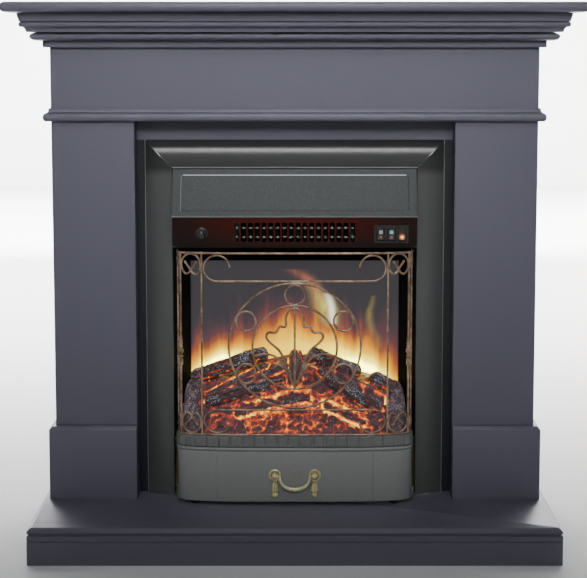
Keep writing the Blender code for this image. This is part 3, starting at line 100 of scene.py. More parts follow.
world = bpy.data.worlds.new("studio")
world.use_nodes = True
sky = world.node_tree.nodes["Background"].inputs
sky["Color"].default_value = (0.95, 0.96, 0.98, 1)
sky["Strength"].default_value = 0.13
bpy.context.scene.world = world


class Finish:
    """A material being mixed from shader nodes. A value that is a socket is linked, and others are set."""

    def __init__(self, name, colour, roughness, metallic=0.0, **sockets):
        self.material = bpy.data.materials.new(name)
        self.material.use_nodes = True
        self.tree = self.material.node_tree
        self.shader = self.tree.nodes["Principled BSDF"]
        self.place = self.node("TexCoord", "Object")
        self.put(Base_Color=colour, Roughness=roughness, Metallic=metallic, **sockets)

    def fill(self, target, values):
        """Link or set inputs of one node."""
        for key, value in values.items():
            socket = target.inputs[key]
            if isinstance(value, bpy.types.NodeSocket):
                self.tree.links.new(value, socket)
            elif socket.type == "RGBA" and len(value) == 3:
                socket.default_value = (*value, 1.0)
            else:
                socket.default_value = value

    def put(self, **sockets):
        """Link or set inputs of the shader, whose names have _ for a space."""
        self.fill(self.shader, {key.replace("_", " "): value for key, value in sockets.items()})
        return self

    def node(self, kind, output, settings=(), **values):
        """Output of one new node. An input is given by its name, or by _ and its number."""
        made = self.tree.nodes.new("ShaderNode" + kind)
        for key, value in dict(settings).items():
            setattr(made, key, value)
        self.fill(made, {int(key[1:]) if key[1:].isdigit() else key.replace("_", " "): value
                         for key, value in values.items()})
        return made.outputs[output]

    def sum(self, operation, a, b=0.0, c=0.0):
        """One arithmetic step on numbers."""
        return self.node("Math", 0, {"operation": operation}, _0=a, _1=b, _2=c)

    def times(self, a, b):
        """Product of two numbers."""
        return self.sum("MULTIPLY", a, b)

    def absolute(self, a):
        """Number without its sign."""
        return self.sum("ABSOLUTE", a)

    def less(self, a, b):
        """1 where a is less than b, and 0 elsewhere."""
        return self.sum("LESS_THAN", a, b)

    def near(self, value, target, reach):
        """1 where the value lies within the reach of the target, and 0 elsewhere."""
        return self.less(self.absolute(self.sum("SUBTRACT", value, target)), reach)

    def axis(self, number):
        """Place along x, y or z, numbered 0, 1 and 2."""
        return self.node("SeparateXYZ", number, Vector=self.place)

    def noise(self, scale, detail=3.0, roughness=0.5, stretch=None, distortion=0.0):
        """Fractal noise from 0 to 1, with an optional stretch along the axes."""
        place = self.node("Mapping", 0, Vector=self.place, Scale=stretch) if stretch else self.place
        return self.node("TexNoise", 0, Vector=place, Scale=scale, Detail=detail, Roughness=roughness,
                         Distortion=distortion)

    def ramp(self, fac, stops):
        """Colour along a scale of (position, colour) stops; a single number stands for a grey."""
        made = self.tree.nodes.new("ShaderNodeValToRGB")
        scale = made.color_ramp
        while len(scale.elements) < len(stops):
            scale.elements.new(0.5)
        for element, (position, colour) in zip(scale.elements, stops):
            element.position = position
            element.color = (*colour, 1.0) if isinstance(colour, tuple) else (colour, colour, colour, 1.0)
        self.tree.links.new(fac, made.inputs[0])
        return made.outputs[0]

    def spread(self, fac, low, high, start=0.0, end=1.0):
        """Number fac, moved from the range start..end to low..high and held inside it."""
        return self.node("MapRange", 0, Value=fac, From_Min=start, From_Max=end, To_Min=low, To_Max=high)

    def mix(self, fac, a, b):
        """Two colours mixed."""
        made = self.tree.nodes.new("ShaderNodeMix")
        made.data_type = "RGBA"
        for index, value in ((0, fac), (6, a), (7, b)):
            if isinstance(value, bpy.types.NodeSocket):
                self.tree.links.new(value, made.inputs[index])
            else:
                made.inputs[index].default_value = (*value, 1.0) if isinstance(value, tuple) else value
        return made.outputs[2]

    def clouds(self, dark, light, *noise):
        """Colour that drifts between two tones."""
        return self.mix(self.noise(*noise), dark, light)

    def over(self, fac, colour):
        """Second colour, laid over the base colour by a factor."""
        base = self.shader.inputs["Base Color"].links[0].from_socket
        return self.put(Base_Color=self.mix(fac, base, colour))

    def sheen(self, low, high, scale):
        """Roughness that drifts between two values."""
        return self.put(Roughness=self.spread(self.noise(scale), low, high))

    def bump(self, height, distance, strength=1.0):
        """Relief of the given depth in metres. A second call lies on the first."""
        normal = self.shader.inputs["Normal"]
        below = {"Normal": normal.links[0].from_socket} if normal.links else {}
        relief = self.node("Bump", 0, Height=height, Distance=distance, Strength=strength, **below)
        self.tree.links.new(relief, normal)
        return self

    def grain(self, distance, *noise):
        """Relief of noise of the given depth in metres."""
        return self.bump(self.noise(*noise), distance)

    def on(self, *names):
        """Lay the finish on CAD nodes."""
        for name in names:
            nodes[name].data.materials.clear()
            nodes[name].data.materials.append(self.material)
        return self


floor_mesh = bpy.data.meshes.new("floor")
floor_half, floor_z, backdrop_y, backdrop_z = 40, -0.0004, 7, 14
floor_corners = [(-floor_half, -floor_half, floor_z), (floor_half, -floor_half, floor_z),
                 (floor_half, backdrop_y, floor_z), (-floor_half, backdrop_y, floor_z),
                 (floor_half, backdrop_y, backdrop_z), (-floor_half, backdrop_y, backdrop_z)]
floor_mesh.from_pydata(floor_corners, [], [(0, 1, 2, 3), (3, 2, 4, 5)])
floor = bpy.data.objects.new("floor", floor_mesh)
bpy.context.scene.collection.objects.link(floor)
floor_paint = Finish("floor_paint", (0.9, 0.9, 0.9), 0.8)
floor_tones = [(0.3, (0.76, 0.76, 0.77)), (0.7, (0.80, 0.80, 0.81))]
floor_paint.put(Base_Color=floor_paint.ramp(floor_paint.noise(1.3), floor_tones))
floor.data.materials.append(floor_paint.material)
floor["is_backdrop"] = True


# Mantel shelf. A board with a bullnose run along its front and both ends, sprayed in satin slate paint.
# The gun leaves a faint orange-peel ripple and a cloudy tone.
slate = Finish("slate_paint", (0.1, 0.1, 0.12), 0.42)
slate_tones = (0.076, 0.075, 0.102), (0.087, 0.086, 0.116)
slate_specks = slate.spread(slate.noise(850.0, 2.0, 0.7), 0.0, 0.30, 0.38, 0.70)
slate_cloud = slate.clouds(*slate_tones, 5.0, 4.0, 0.6)
slate.put(Base_Color=slate.mix(slate_specks, slate_cloud, (0.125, 0.122, 0.155)))
slate.sheen(0.36, 0.50, 60.0)
slate.grain(0.00005, 420.0, 3.0, 0.55)


def skin(grid, round_rows=False):
    """Tube through a grid of points, as points and faces: each row is a ring, joined by squares to the
    next. Round rows join the last ring to the first. Otherwise those two get a flat end each."""
    rows, columns = grid.shape[:2]
    row, column = np.meshgrid(np.arange(rows if round_rows else rows - 1), np.arange(columns), indexing="ij")
    here, there, beside = row * columns, (row + 1) % rows * columns, (column + 1) % columns
    squares = np.stack([here + column, here + beside, there + beside, there + column], -1)
    faces = squares.reshape(-1, 4).tolist()
    if not round_rows:
        faces += [list(range(columns))[::-1], list(range((rows - 1) * columns, rows * columns))]
    return grid.reshape(-1, 3), faces


def piece(name, skins, finish, body, stands_for, sharp=32, values=None):
    """One object from skins, in place of CAD nodes, with its faces turned outwards and smooth below the
    sharp angle. values are numbers per point, kept as the attribute "ember"."""
    points, faces, start = [], [], 0
    for part_points, part_faces in skins:
        points.append(part_points)
        faces += [[corner + start for corner in face] for face in part_faces]
        start += len(part_points)
    data = bpy.data.meshes.new(name)
    data.from_pydata(np.concatenate(points).tolist(), [], faces)
    shape = bmesh.new()
    shape.from_mesh(data)
    bmesh.ops.recalc_face_normals(shape, faces=shape.faces)
    shape.to_mesh(data)
    shape.free()
    if values is not None:
        ember = data.attributes.new("ember", "FLOAT", "POINT")
        ember.data.foreach_set("value", np.asarray(values, float).ravel())
    data.shade_smooth()
    data.set_sharp_from_angle(angle=math.radians(sharp))
    data.materials.append(finish.material)
    made = bpy.data.objects.new(name, data)
    bpy.context.scene.collection.objects.link(made)
    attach(made, body)
    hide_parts(*stands_for)


def board(levels, half, front, back, corner):
    """Board seen from above as a rectangle with arc corners at the front. Each level is (inset, z): the
    outline drawn in by the inset, at that height. An arc is its centre plus the radius times (cos, sin)."""
    turn, smallest = np.radians(np.linspace(180, 270, 7)), 0.0003
    rings = []
    for inset, z in levels:
        radius = max(corner - inset, smallest)
        x = half - inset - radius + radius * -np.cos(turn)
        y = front + inset + radius + radius * np.sin(turn)
        xs = np.concatenate((-x, x[::-1], [half - inset, -(half - inset)]))
        ys = np.concatenate((y, y[::-1], [back, back]))
        rings.append(np.stack([xs, ys, np.full(len(xs), z)], -1))
    return skin(np.array(rings))


shelf_low, shelf_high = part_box("mantel_shelf")
nose = (shelf_high.z - shelf_low.z) / 2
nose_turn = np.radians(np.linspace(0, 180, 25))
shelf_levels = zip(nose * (1 - np.sin(nose_turn)), shelf_low.z + nose * (1 - np.cos(nose_turn)))
piece("shelf_board", [board(shelf_levels, shelf_high.x, shelf_low.y, shelf_high.y, corner=0.004)], slate,
      "suite", ["mantel_shelf"])


# Cornice and string moulding. Lengths of routed moulding, mitred at the corners and glued under the shelf
# and under the frieze. The cornice steps out in a fillet, a torus, a cove, a bead and a splayed fascia.
def arc(centre, radii, start, end, steps):
    """Points (a, b) of an elliptical arc, centre + radii * (cos t, sin t), t from start to end degrees."""
    turn = np.radians(np.linspace(start, end, steps + 1))
    return np.stack([centre[0] + radii[0] * np.cos(turn), centre[1] + radii[1] * np.sin(turn)], -1)


def mitred(profile, half, face, back):
    """Moulding round the front and both sides. Profile pairs are (projection, z): a point stands at the
    body's edge plus the projection, and at both mitres it steps out in x and y alike."""
    out, z = np.asarray(profile, float).T
    rows = []
    for side, corner in ((-1, False), (-1, True), (1, True), (1, False)):
        y = face - out if corner else np.full(len(out), back)
        rows.append(np.stack([side * (half + out), y, z], -1))
    return skin(np.array(rows))


body_half, body_front, wall_y = 0.400, -0.009, 0.195
gap = 0.0003  # left open where two pieces meet
string_low, string_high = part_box("string_moulding")
string_tall, string_out = string_high.z - string_low.z, 0.012
string_profile = np.concatenate((
    [(gap, string_low.z)],
    arc((string_out * 0.55, string_low.z + string_tall * 0.32), (string_out * 0.45, string_tall * 0.32),
        -90, 60, 16),
    arc((string_out * 0.52, string_high.z), (string_out * 0.24, string_tall * 0.36), 235, 182, 8),
    [(gap, string_high.z)]))
piece("string_length", [mitred(string_profile, body_half, body_front, wall_y)], slate, "suite",
      ["string_moulding"], sharp=40)

cornice_low, cornice_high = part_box("cornice")
step_out, cornice_tall, edge_round = 0.046, 0.056, 0.0012
fillet_z = cornice_low.z + cornice_tall * 0.19
cornice_profile = np.concatenate((
    [(gap, cornice_low.z)],
    arc((step_out * 0.22 - edge_round, cornice_low.z + edge_round), (edge_round, edge_round), -90, 0, 4),
    [(step_out * 0.22, fillet_z)],
    arc((step_out * 0.33, fillet_z + cornice_tall * 0.125), (step_out * 0.30, cornice_tall * 0.125),
        -90, 90, 20),
    arc((step_out * 0.86, fillet_z + cornice_tall * 0.25), (step_out * 0.13, cornice_tall * 0.145),
        180, 90, 10),
    arc((step_out * 0.88, fillet_z + cornice_tall * 0.47), (step_out * 0.07, cornice_tall * 0.075),
        -90, 90, 14),
    [(step_out * 0.95, fillet_z + cornice_tall * 0.56)],
    arc((step_out * 0.90, cornice_high.z - 0.0005), (step_out * 0.10, cornice_tall * 0.20), -60, 0, 8),
    [(gap, cornice_high.z)]))
piece("cornice_length", [mitred(cornice_profile, body_half, body_front, wall_y)], slate, "suite",
      ["cornice"], sharp=40)


# Pilasters, plinths, boards and base. Sawn fibreboard with its edges eased, dowelled and glued, and painted
# with the rest. The base top has a chamfered edge over a shadow groove.
def eased(outline, radius):
    """Outline whose corners are rounded: each corner c becomes the curve (1-t)^2 a + 2t(1-t) c + t^2 b
    between the points a and b that lie one radius before and after it."""
    corners = np.asarray(outline, float)
    before, after = np.roll(corners, 1, 0), np.roll(corners, -1, 0)
    a = corners + radius * (before - corners) / np.linalg.norm(before - corners, axis=1, keepdims=True)
    b = corners + radius * (after - corners) / np.linalg.norm(after - corners, axis=1, keepdims=True)
    t = np.linspace(0, 1, 5)[None, :, None]
    curves = (1 - t) ** 2 * a[:, None] + 2 * t * (1 - t) * corners[:, None] + t ** 2 * b[:, None]
    return curves.reshape(-1, 2)


def upright(outline, heights):
    """Prism on an outline of (x, y) pairs, which is repeated at each of the given heights."""
    return skin(np.array([np.column_stack((outline, np.full(len(outline), z))) for z in heights]))


board_thick, ease_radius, bevel = 0.015, 0.0013, 0.005
for hand, side in (("left", -1), ("right", 1)):
    low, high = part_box(f"pilaster_{hand}")
    inner, outer = sorted((abs(low.x), abs(high.x)))
    section = [(inner, low.y), (outer, low.y), (outer, low.y + board_thick),
               (inner + board_thick, low.y + board_thick), (inner + board_thick, high.y), (inner, high.y)]
    section = eased(np.array(section) * (side, 1), ease_radius)
    piece(f"pilaster_board_{hand}", [upright(section, (low.z, high.z))], slate, "suite",
          [f"pilaster_{hand}"])

    low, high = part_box(f"plinth_{hand}")
    inner, outer = sorted((abs(low.x), abs(high.x)))
    bevel_z, rings = high.z - bevel, []
    for inset, z in ((0, low.z), (0, bevel_z - 0.0008), (0.0003, bevel_z), (0.0011, bevel_z + 0.0007),
                     (bevel - 0.0008, high.z - 0.0006), (bevel, high.z)):
        wrap = [(inner, low.y + inset), (outer - inset, low.y + inset), (outer - inset, high.y),
                (body_half + gap, high.y), (body_half + gap, body_front - gap), (inner, body_front - gap)]
        wrap = eased(np.array(wrap) * (side, 1), ease_radius)
        rings.append(np.column_stack((wrap, np.full(len(wrap), z))))
    piece(f"plinth_block_{hand}", [skin(np.array(rings))], slate, "suite", [f"plinth_{hand}"])

base_low, base_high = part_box("base_top")
base_top_z = base_high.z
chamfer, groove_deep, groove_tall, edge_tall = 0.0065, 0.003, 0.0037, 0.0023
groove_z = base_top_z - chamfer - edge_tall
groove_foot = groove_z - groove_tall
base_levels = [(0.0008, base_low.z), (0, base_low.z + 0.0008), (0, groove_foot - 0.0006),
               (0.0006, groove_foot), (groove_deep, groove_foot), (groove_deep, groove_z),
               (0.0005, groove_z), (0, groove_z + 0.0005), (0, groove_z + edge_tall - 0.0005),
               (0.0004, groove_z + edge_tall + 0.0003), (chamfer - 0.0008, base_top_z - 0.0009),
               (chamfer + 0.0010, base_top_z)]
piece("base_slab", [board(base_levels, base_high.x, base_low.y, base_high.y, corner=0.0025)], slate, "suite",
      ["base_top"])
low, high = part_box("base_frame")
rail = 0.018
base_plan = [(-high.x, low.y), (high.x, low.y), (high.x, high.y), (high.x - rail, high.y),
             (high.x - rail, low.y + rail), (rail - high.x, low.y + rail), (rail - high.x, high.y),
             (-high.x, high.y)]
base_plan = eased(base_plan, radius=0.0022)
piece("base_plinth", [upright(base_plan, (low.z, high.z))], slate, "suite", ["base_frame"])

raw_board = Finish("slate_overspray", (0.1, 0.1, 0.12), 0.6)
overspray = raw_board.spread(raw_board.noise(3.0, 5.0, 0.7), 0.0, 0.35, 0.48, 0.66)
fibre = raw_board.clouds((0.23, 0.145, 0.085), (0.36, 0.25, 0.155), 240.0, 5.0, 0.7)
fibre = raw_board.mix(overspray, fibre, (0.085, 0.082, 0.105))
facing = raw_board.node("SeparateXYZ", 1, _0=raw_board.node("TexCoord", "Normal"))
painted_face = raw_board.clouds(*slate_tones, 5.0, 4.0, 0.6)
raw_board.put(Base_Color=raw_board.mix(raw_board.spread(facing, 0.0, 1.0, 0.45, 0.55), painted_face, fibre),
              Roughness=raw_board.spread(facing, 0.44, 0.86, 0.45, 0.55))
# painted shade: the front is darker beside the trim frame, where the board lies in deep shade
trim_half, trim_tall = 0.250, 0.600
below_top = raw_board.less(raw_board.axis(2), base_top_z + trim_tall)
shaded = raw_board.times(raw_board.less(facing, 0.5), below_top)
past_trim = raw_board.sum("GREATER_THAN", raw_board.absolute(raw_board.axis(0)), trim_half + gap)
raw_board.over(raw_board.times(shaded, past_trim), (0.015, 0.015, 0.021))
raw_board.grain(0.00006, 420.0, 4.0, 0.6)
raw_board.on("breast_board", "base_rear", "rear_top_rail")
slate.on("frieze_board", "side_panel_left", "side_panel_right")


# Trim frame. Three mitred lengths of pressed steel round the opening, rising in a curve from the outer edge
# to the fire and ending in a rolled edge. Stoved in satin black enamel with a fine grain.
def graphite(name, tone, gloss):
    """Satin enamel of a given grey and roughness, with aluminium flakes and a fine grain."""
    made = Finish(name, (tone, tone, tone), gloss)
    ground = made.clouds((0.92 * tone, 0.93 * tone, 0.92 * tone), (1.07 * tone, 1.10 * tone, 1.08 * tone),
                         6.0, 4.0, 0.6)
    flakes = made.spread(made.noise(1300.0, 2.0, 0.7), 0.0, 0.35, 0.42, 0.75)
    made.put(Base_Color=made.mix(flakes, ground, (2.2 * tone, 2.3 * tone, 2.25 * tone)))
    made.sheen(gloss - 0.05, gloss + 0.06, 90.0)
    return made.grain(0.00003, 900.0, 2.0, 0.5)


black_steel, trim_enamel = graphite("black_steel", 0.030, 0.40), graphite("trim_enamel", 0.056, 0.22)
trim_y, trim_deep, trim_edge, sheet = 0.0297, 0.022, 0.003, 0.0015
trim_top_z, trim_wide, trim_top_wide = base_top_z + trim_tall, 0.047, 0.0457

# painted shade over the top rail above the hood, and painted highlights along its rolled inner edge and down
# both outer edges
inner_edge_z, inner_edge_half = 0.6150, 0.2035
tx, tz = trim_enamel.absolute(trim_enamel.axis(0)), trim_enamel.axis(2)
painted_shade_top_rail = trim_enamel.spread(tz, 0.0, 0.65, inner_edge_z - 0.015, inner_edge_z - 0.001)
trim_enamel.over(painted_shade_top_rail, (0.008, 0.009, 0.008))
inner_edge_highlight = trim_enamel.times(trim_enamel.near(tz, inner_edge_z, 0.0008),
                               trim_enamel.less(tx, inner_edge_half))
outer_edge_highlight = trim_enamel.near(tx, trim_half, 0.0015)
trim_enamel.over(trim_enamel.sum("MAXIMUM", inner_edge_highlight, outer_edge_highlight), (0.30, 0.31, 0.31))


def trim_section(width):
    """Section of the trim as (distance from the outer edge, height): edge + rise * sin(s pi / 2)^0.8 at the
    share s of the width, then a quarter circle. The inner wall is the same line one sheet further in."""
    s = np.linspace(0, 0.97, 30)[1:] ** 1.25
    outer = np.concatenate((
        [(0, 0), (0, trim_edge - 0.0006), (0.0003, trim_edge)],
        np.stack([width * s, trim_edge + (trim_deep - trim_edge) * np.sin(s * np.pi / 2) ** 0.8], -1),
        arc((width - edge_round, trim_deep - edge_round), (edge_round, edge_round), 80, 0, 5), [(width, 0)]))
    inner = np.stack([np.clip(outer[:, 0], sheet, width - sheet), np.maximum(outer[:, 1] - sheet, 0)], -1)
    inner[0] = (sheet, 0)
    return np.concatenate((outer, inner[::-1]))


across, proud = trim_section(trim_wide).T
for hand, side in (("left", -1), ("right", 1)):
    mitre_z = trim_top_z - across * trim_top_wide / trim_wide - gap
    rows = [np.stack([side * (trim_half - across), trim_y - proud, z], -1)
            for z in (np.full(len(across), base_top_z + gap), mitre_z)]
    piece(f"trim_length_{hand}", [skin(np.array(rows))], trim_enamel, "suite",
          [f"trim_{hand}"])
across, proud = trim_section(trim_top_wide).T
rows = [np.stack([side * (trim_half - across * trim_wide / trim_top_wide), trim_y - proud,
                  trim_top_z - across], -1) for side in (-1, 1)]
piece("trim_length_top", [skin(np.array(rows))], trim_enamel, "suite", ["trim_top"])


# Firebox casing. A box of galvanised sheet let into the breast board, with a louvred access cover on its
# back and the cable gland in that cover. Zinc crystals show as grey spangles.
zinc = Finish("galvanised_steel", (0.45, 0.46, 0.47), 0.42, 0.9)
spangle = zinc.node("TexVoronoi", "Color", Vector=zinc.place, Scale=130.0, Randomness=1.0)
crystals = zinc.node("SeparateColor", 0, Color=spangle)
crystal_tone = zinc.ramp(crystals, [(0.0, (0.30, 0.31, 0.33)), (1.0, (0.52, 0.53, 0.55))])
zinc.put(Base_Color=zinc.mix(zinc.spread(zinc.noise(30.0, 4.0), 0.2, 0.8, 0.3, 0.7), crystal_tone,
                             (0.40, 0.41, 0.42)),
         Roughness=zinc.spread(crystals, 0.34, 0.58))
zinc.bump(crystals, 0.00002, 0.6)
zinc.on("firebox_casing", "rear_cover", "dimmer", "flame_reflector", "spindle_motor", "flame_spindle")

black_plastic = Finish("black_plastic", (0.016, 0.016, 0.017), 0.4)
black_plastic.put(Base_Color=black_plastic.clouds((0.012, 0.012, 0.013), (0.024, 0.024, 0.025), 60.0, 4.0))
black_plastic.sheen(0.32, 0.5, 1100.0)
black_plastic.grain(0.00002, 1500.0, 2.0)
black_plastic.on("cable_gland", "spindle_bush", "foot_left", "foot_right", "switch_block")


# Chassis and liner. Folded black sheet that carries the fuel bed. Under it lie the lamp board, with its
# lamps in clear domes, and behind the heater the fan's shaded-pole motor with its copper winding.
black_steel.on("fuel_bed_chassis", "heater_shelf")
tarnished = Finish("tarnished_steel", (0.03, 0.03, 0.03), 0.6, 0.8)
tarnished.put(Base_Color=tarnished.clouds((0.012, 0.011, 0.010), (0.055, 0.050, 0.044), 40.0, 5.0, 0.7))
tarnished.sheen(0.5, 0.8, 60.0)
tarnished.grain(0.00004, 500.0, 3.0)
tarnished.on("fan_housing", "fan_impeller")
soot_black = Finish("soot_black", (0.006, 0.006, 0.007), 0.9, Specular_IOR_Level=0.05)
soot_black.put(Base_Color=soot_black.clouds((0.004, 0.004, 0.005), (0.012, 0.012, 0.013), 40.0, 4.0))
soot_black.sheen(0.8, 1.0, 90.0)
soot_black.grain(0.00004, 900.0, 2.0)
soot_black.on("firebox_liner")

circuit = Finish("circuit_board", (0.05, 0.18, 0.08), 0.4)
board_top_z = 0.0740
lamps = circuit.spread(circuit.axis(2), 0.0, 1.0, board_top_z, board_top_z + 0.0002)
tracks = circuit.spread(circuit.node("TexBrick", 1, Vector=circuit.place, Scale=110.0), 0.0, 1.0, 0.4, 0.6)
lacquer = circuit.mix(tracks, (0.02, 0.10, 0.045), (0.05, 0.20, 0.08))
circuit.put(Base_Color=circuit.mix(lamps, lacquer, (0.75, 0.55, 0.30)), Emission_Strength=30.0,
            Emission_Color=circuit.ramp(lamps, [(0.0, 0.0), (1.0, (1.0, 0.42, 0.10))]))
circuit.bump(tracks, 0.00003)
circuit.on("lamp_board")

copper = Finish("copper_winding", (0.5, 0.22, 0.1), 0.35, 0.85)
layers = copper.node("TexWave", 1, Vector=copper.place, Scale=380.0, Distortion=0.6)
copper_tones = [(0.0, (0.16, 0.06, 0.03)), (0.6, (0.52, 0.22, 0.10)), (1.0, (0.62, 0.30, 0.15))]
copper.put(Base_Color=copper.ramp(layers, copper_tones))
copper.sheen(0.28, 0.5, 200.0)
copper.bump(layers, 0.0002)
copper.on("fan_motor")


# Ash-pan cover and fret. The cover is one sheet bent round the front, with a rolled bead above a groove and
# two pressed seams. The fluted fret stands over it on the edge of the chassis.
front_half, front_y, front_bow = 0.197, -0.068, 0.050


def front_curve(share, inset):
    """Points (x, y) of the fire's plan curve |x / a|^4 + |y / b|^4 = 1, drawn in by the inset, for shares
    of its length from -1 at the left to 1 at the right."""
    u = np.linspace(-1, 1, 2401)
    turn = np.pi / 2 * (1 + np.sign(u) * np.sin(np.pi * np.abs(u) / 2) ** 2)

    def at(turn, inset):
        """Point of the curve whose two powers are the squares of cos and sin of the turn."""
        x = (front_half - inset) * np.abs(np.cos(turn)) ** 0.5 * np.sign(np.cos(turn))
        return -x, front_y + front_bow - (front_bow - inset) * np.abs(np.sin(turn)) ** 0.5

    x, y = at(turn, 0.0)
    run = np.concatenate(([0], np.cumsum(np.hypot(np.diff(x), np.diff(y)))))
    return at(np.interp((np.asarray(share) + 1) / 2 * run[-1], run, turn), inset)


def along_front(shares, inset, z):
    """Strip along the plan curve. inset and z hold one closed outline per share, as two arrays: a point
    lies on the curve that is drawn in by its inset, at its z."""
    x, y = front_curve(np.asarray(shares)[:, None], inset)
    return skin(np.stack([x, y, np.broadcast_to(z, x.shape)], -1))


cover_enamel, fret_enamel = graphite("cover_enamel", 0.190, 0.42), graphite("fret_enamel", 0.110, 0.42)
cover_low, cover_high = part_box("ash_pan_cover")
cover_inset, seam_x, seam_wide, seam_deep = 0.0015, 0.129, 0.0009, 0.0007
fine = np.linspace(0, 1, 2001)
seam_share = np.interp(seam_x, front_curve(fine, cover_inset)[0], fine)
near_seam = seam_share + np.linspace(-0.012, 0.012, 21)
shares = np.unique(np.concatenate((np.linspace(-1, 1, 201), near_seam, -near_seam)))
seam = seam_deep * np.exp(-((np.abs(front_curve(shares, cover_inset)[0]) - seam_x) / seam_wide) ** 2)
bend = np.linspace(0, 1, 9)
cover_profile = np.concatenate((
    [(0.0007, cover_low.z), (0.0002, cover_low.z + 0.0002), (0.0, cover_low.z + 0.0007),
     (0.0, cover_high.z - 0.0090)],
    np.stack([0.0011 * np.sin(np.pi * bend), cover_high.z - 0.0078 + 0.0022 * bend], -1),
    np.stack([-0.0013 * np.sin(np.pi * bend[1:]) ** 0.8 + 0.0002 * bend[1:],
              cover_high.z - 0.0056 + 0.0056 * bend[1:]], -1),
    [(sheet, cover_high.z), (sheet, cover_low.z)]))
pressed = seam[:, None] * np.where(cover_profile[:, 0] < sheet, 1.0, 0.0)
piece("cover_sheet", [along_front(shares, cover_inset + cover_profile[:, 0] + pressed, cover_profile[:, 1])],
      cover_enamel, "ash_cover", ["ash_pan_cover"], sharp=50)

fret_low, fret_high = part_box("fret")
flutes, flute_deep, fret_round, fret_thick = 23, 0.0032, 0.0026, 0.008
shares = np.linspace(-1, 1, flutes * 14 + 1)
along_flute = (shares + 1) / 2 * flutes
to_groove = np.abs(along_flute - np.clip(np.round(along_flute), 1, flutes - 1))
dip = flute_deep * np.exp(-(to_groove / 0.10) ** 2)
fret_profile = np.concatenate((  # inset, z and share of the flute's depth
    [(0.0006, fret_low.z, 0.0), (0.0, fret_low.z + 0.0006, 0.0), (0.0, fret_low.z + 0.0012, 0.3),
     (0.0, fret_low.z + 0.0024, 1.0), (0.0, fret_high.z - 0.0040, 1.0)],
    [(fret_round * (1 - math.cos(a)), fret_high.z - fret_round * (1 - math.sin(a)), 1 - a / 1.6)
     for a in np.radians((10, 30, 50, 70, 90))],
    [(fret_thick, fret_high.z, 0.0), (fret_thick, fret_low.z, 0.0)]))
fluted = fret_profile[:, 0] + dip[:, None] * fret_profile[:, 2]
piece("fluted_fret", [along_front(shares, fluted, fret_profile[:, 1])], fret_enamel, "suite",
      ["fret"], sharp=60)


# Drop handle. Two rosettes cast with a ball and a hanging tassel, and a bail of crescent shape whose pins
# turn in the balls. Brass, darkened and then rubbed back to yellow on the high places.
brass = Finish("aged_brass", (0.42, 0.30, 0.14), 0.34, 0.6)
rubbed = brass.spread(brass.node("NewGeometry", "Pointiness"), 0.0, 1.0, 0.47, 0.56)
worn = brass.sum("MULTIPLY_ADD", rubbed, 0.50, 0.22)
worn = brass.sum("MULTIPLY_ADD", brass.noise(160.0, 4.0, 0.6), 0.30, worn)
brass_tones = [(0.25, (0.16, 0.115, 0.055)), (0.48, (0.56, 0.47, 0.22)), (0.72, (0.92, 0.85, 0.52))]
brass.put(Base_Color=brass.ramp(worn, brass_tones), Roughness=brass.spread(worn, 0.48, 0.24, 0.25, 0.8))
brass.grain(0.00004, 700.0, 3.0)


def turned(profile, centre, axis, steps, flutes=0, flute=0.0):
    """Turned form from pairs of radius r and distance along the axis, centred on a point: (r cos a, r sin a,
    distance). Its radius may be fluted by the factor 1 + flute * cos(flutes * a)."""
    radius, height = np.asarray(profile, float).T
    angle = np.linspace(0, 2 * np.pi, steps, endpoint=False)
    round_radius = radius[:, None] * (1 + flute * np.cos(flutes * angle))
    grid = np.stack([round_radius * np.cos(angle), round_radius * np.sin(angle),
                     np.broadcast_to(height[:, None], round_radius.shape)], -1)
    return skin(np.roll(grid, {"Z": 0, "X": 1, "Y": 2}[axis], -1) + np.asarray(centre))


def spline(points, steps):
    """Catmull-Rom curve: (2b + (c-a)t + (2a-5b+4c-d)t^2 + (3b-a-3c+d)t^3) / 2 between each b and c."""
    p = np.asarray(points, float)
    padded = np.concatenate((2 * p[:1] - p[1:2], p, 2 * p[-1:] - p[-2:-1]))
    a, b, c, d = padded[:-3, None], padded[1:-2, None], padded[2:-1, None], padded[3:, None]
    t = np.linspace(0, 1, steps, endpoint=False)[None, :, None]
    curve = 2 * b + (c - a) * t + (2 * a - 5 * b + 4 * c - d) * t ** 2 + (3 * b - a - 3 * c + d) * t ** 3
    return np.concatenate(((curve / 2).reshape(-1, p.shape[1]), p[-1:]))


def wire(path, out, radius, sides=12, closed=False):
    """Round wire along a path: centre + radius * (cos a * out + sin a * (tangent x out)). A free end is
    closed by a dome of three rings."""
    path = np.asarray(path, float)
    radius = np.broadcast_to(np.asarray(radius, float), len(path)).copy()
    run = np.roll(path, -1, 0) - np.roll(path, 1, 0) if closed else np.gradient(path, axis=0)
    run = run / np.linalg.norm(run, axis=1, keepdims=True)
    out = np.broadcast_to(np.asarray(out, float), path.shape)
    if not closed:
        dome = np.radians((75, 50, 25))
        reach, shrunk = np.sin(dome)[:, None], np.cos(dome)
        path = np.concatenate((path[:1] - run[:1] * radius[0] * reach, path,
                               path[-1:] + run[-1:] * radius[-1] * reach[::-1]))
        radius = np.concatenate((radius[0] * shrunk, radius, radius[-1] * shrunk[::-1]))
        run, out = (np.concatenate((np.repeat(a[:1], 3, 0), a, np.repeat(a[-1:], 3, 0))) for a in (run, out))
    out = out - run * np.sum(out * run, -1, keepdims=True)
    out = out / np.linalg.norm(out, axis=1, keepdims=True)
    angle = np.linspace(0, 2 * np.pi, sides, endpoint=False)[None, :, None]
    ring = np.cos(angle) * out[:, None] + np.sin(angle) * np.cross(run, out)[:, None]
    return skin(path[:, None] + radius[:, None, None] * ring, round_rows=closed)


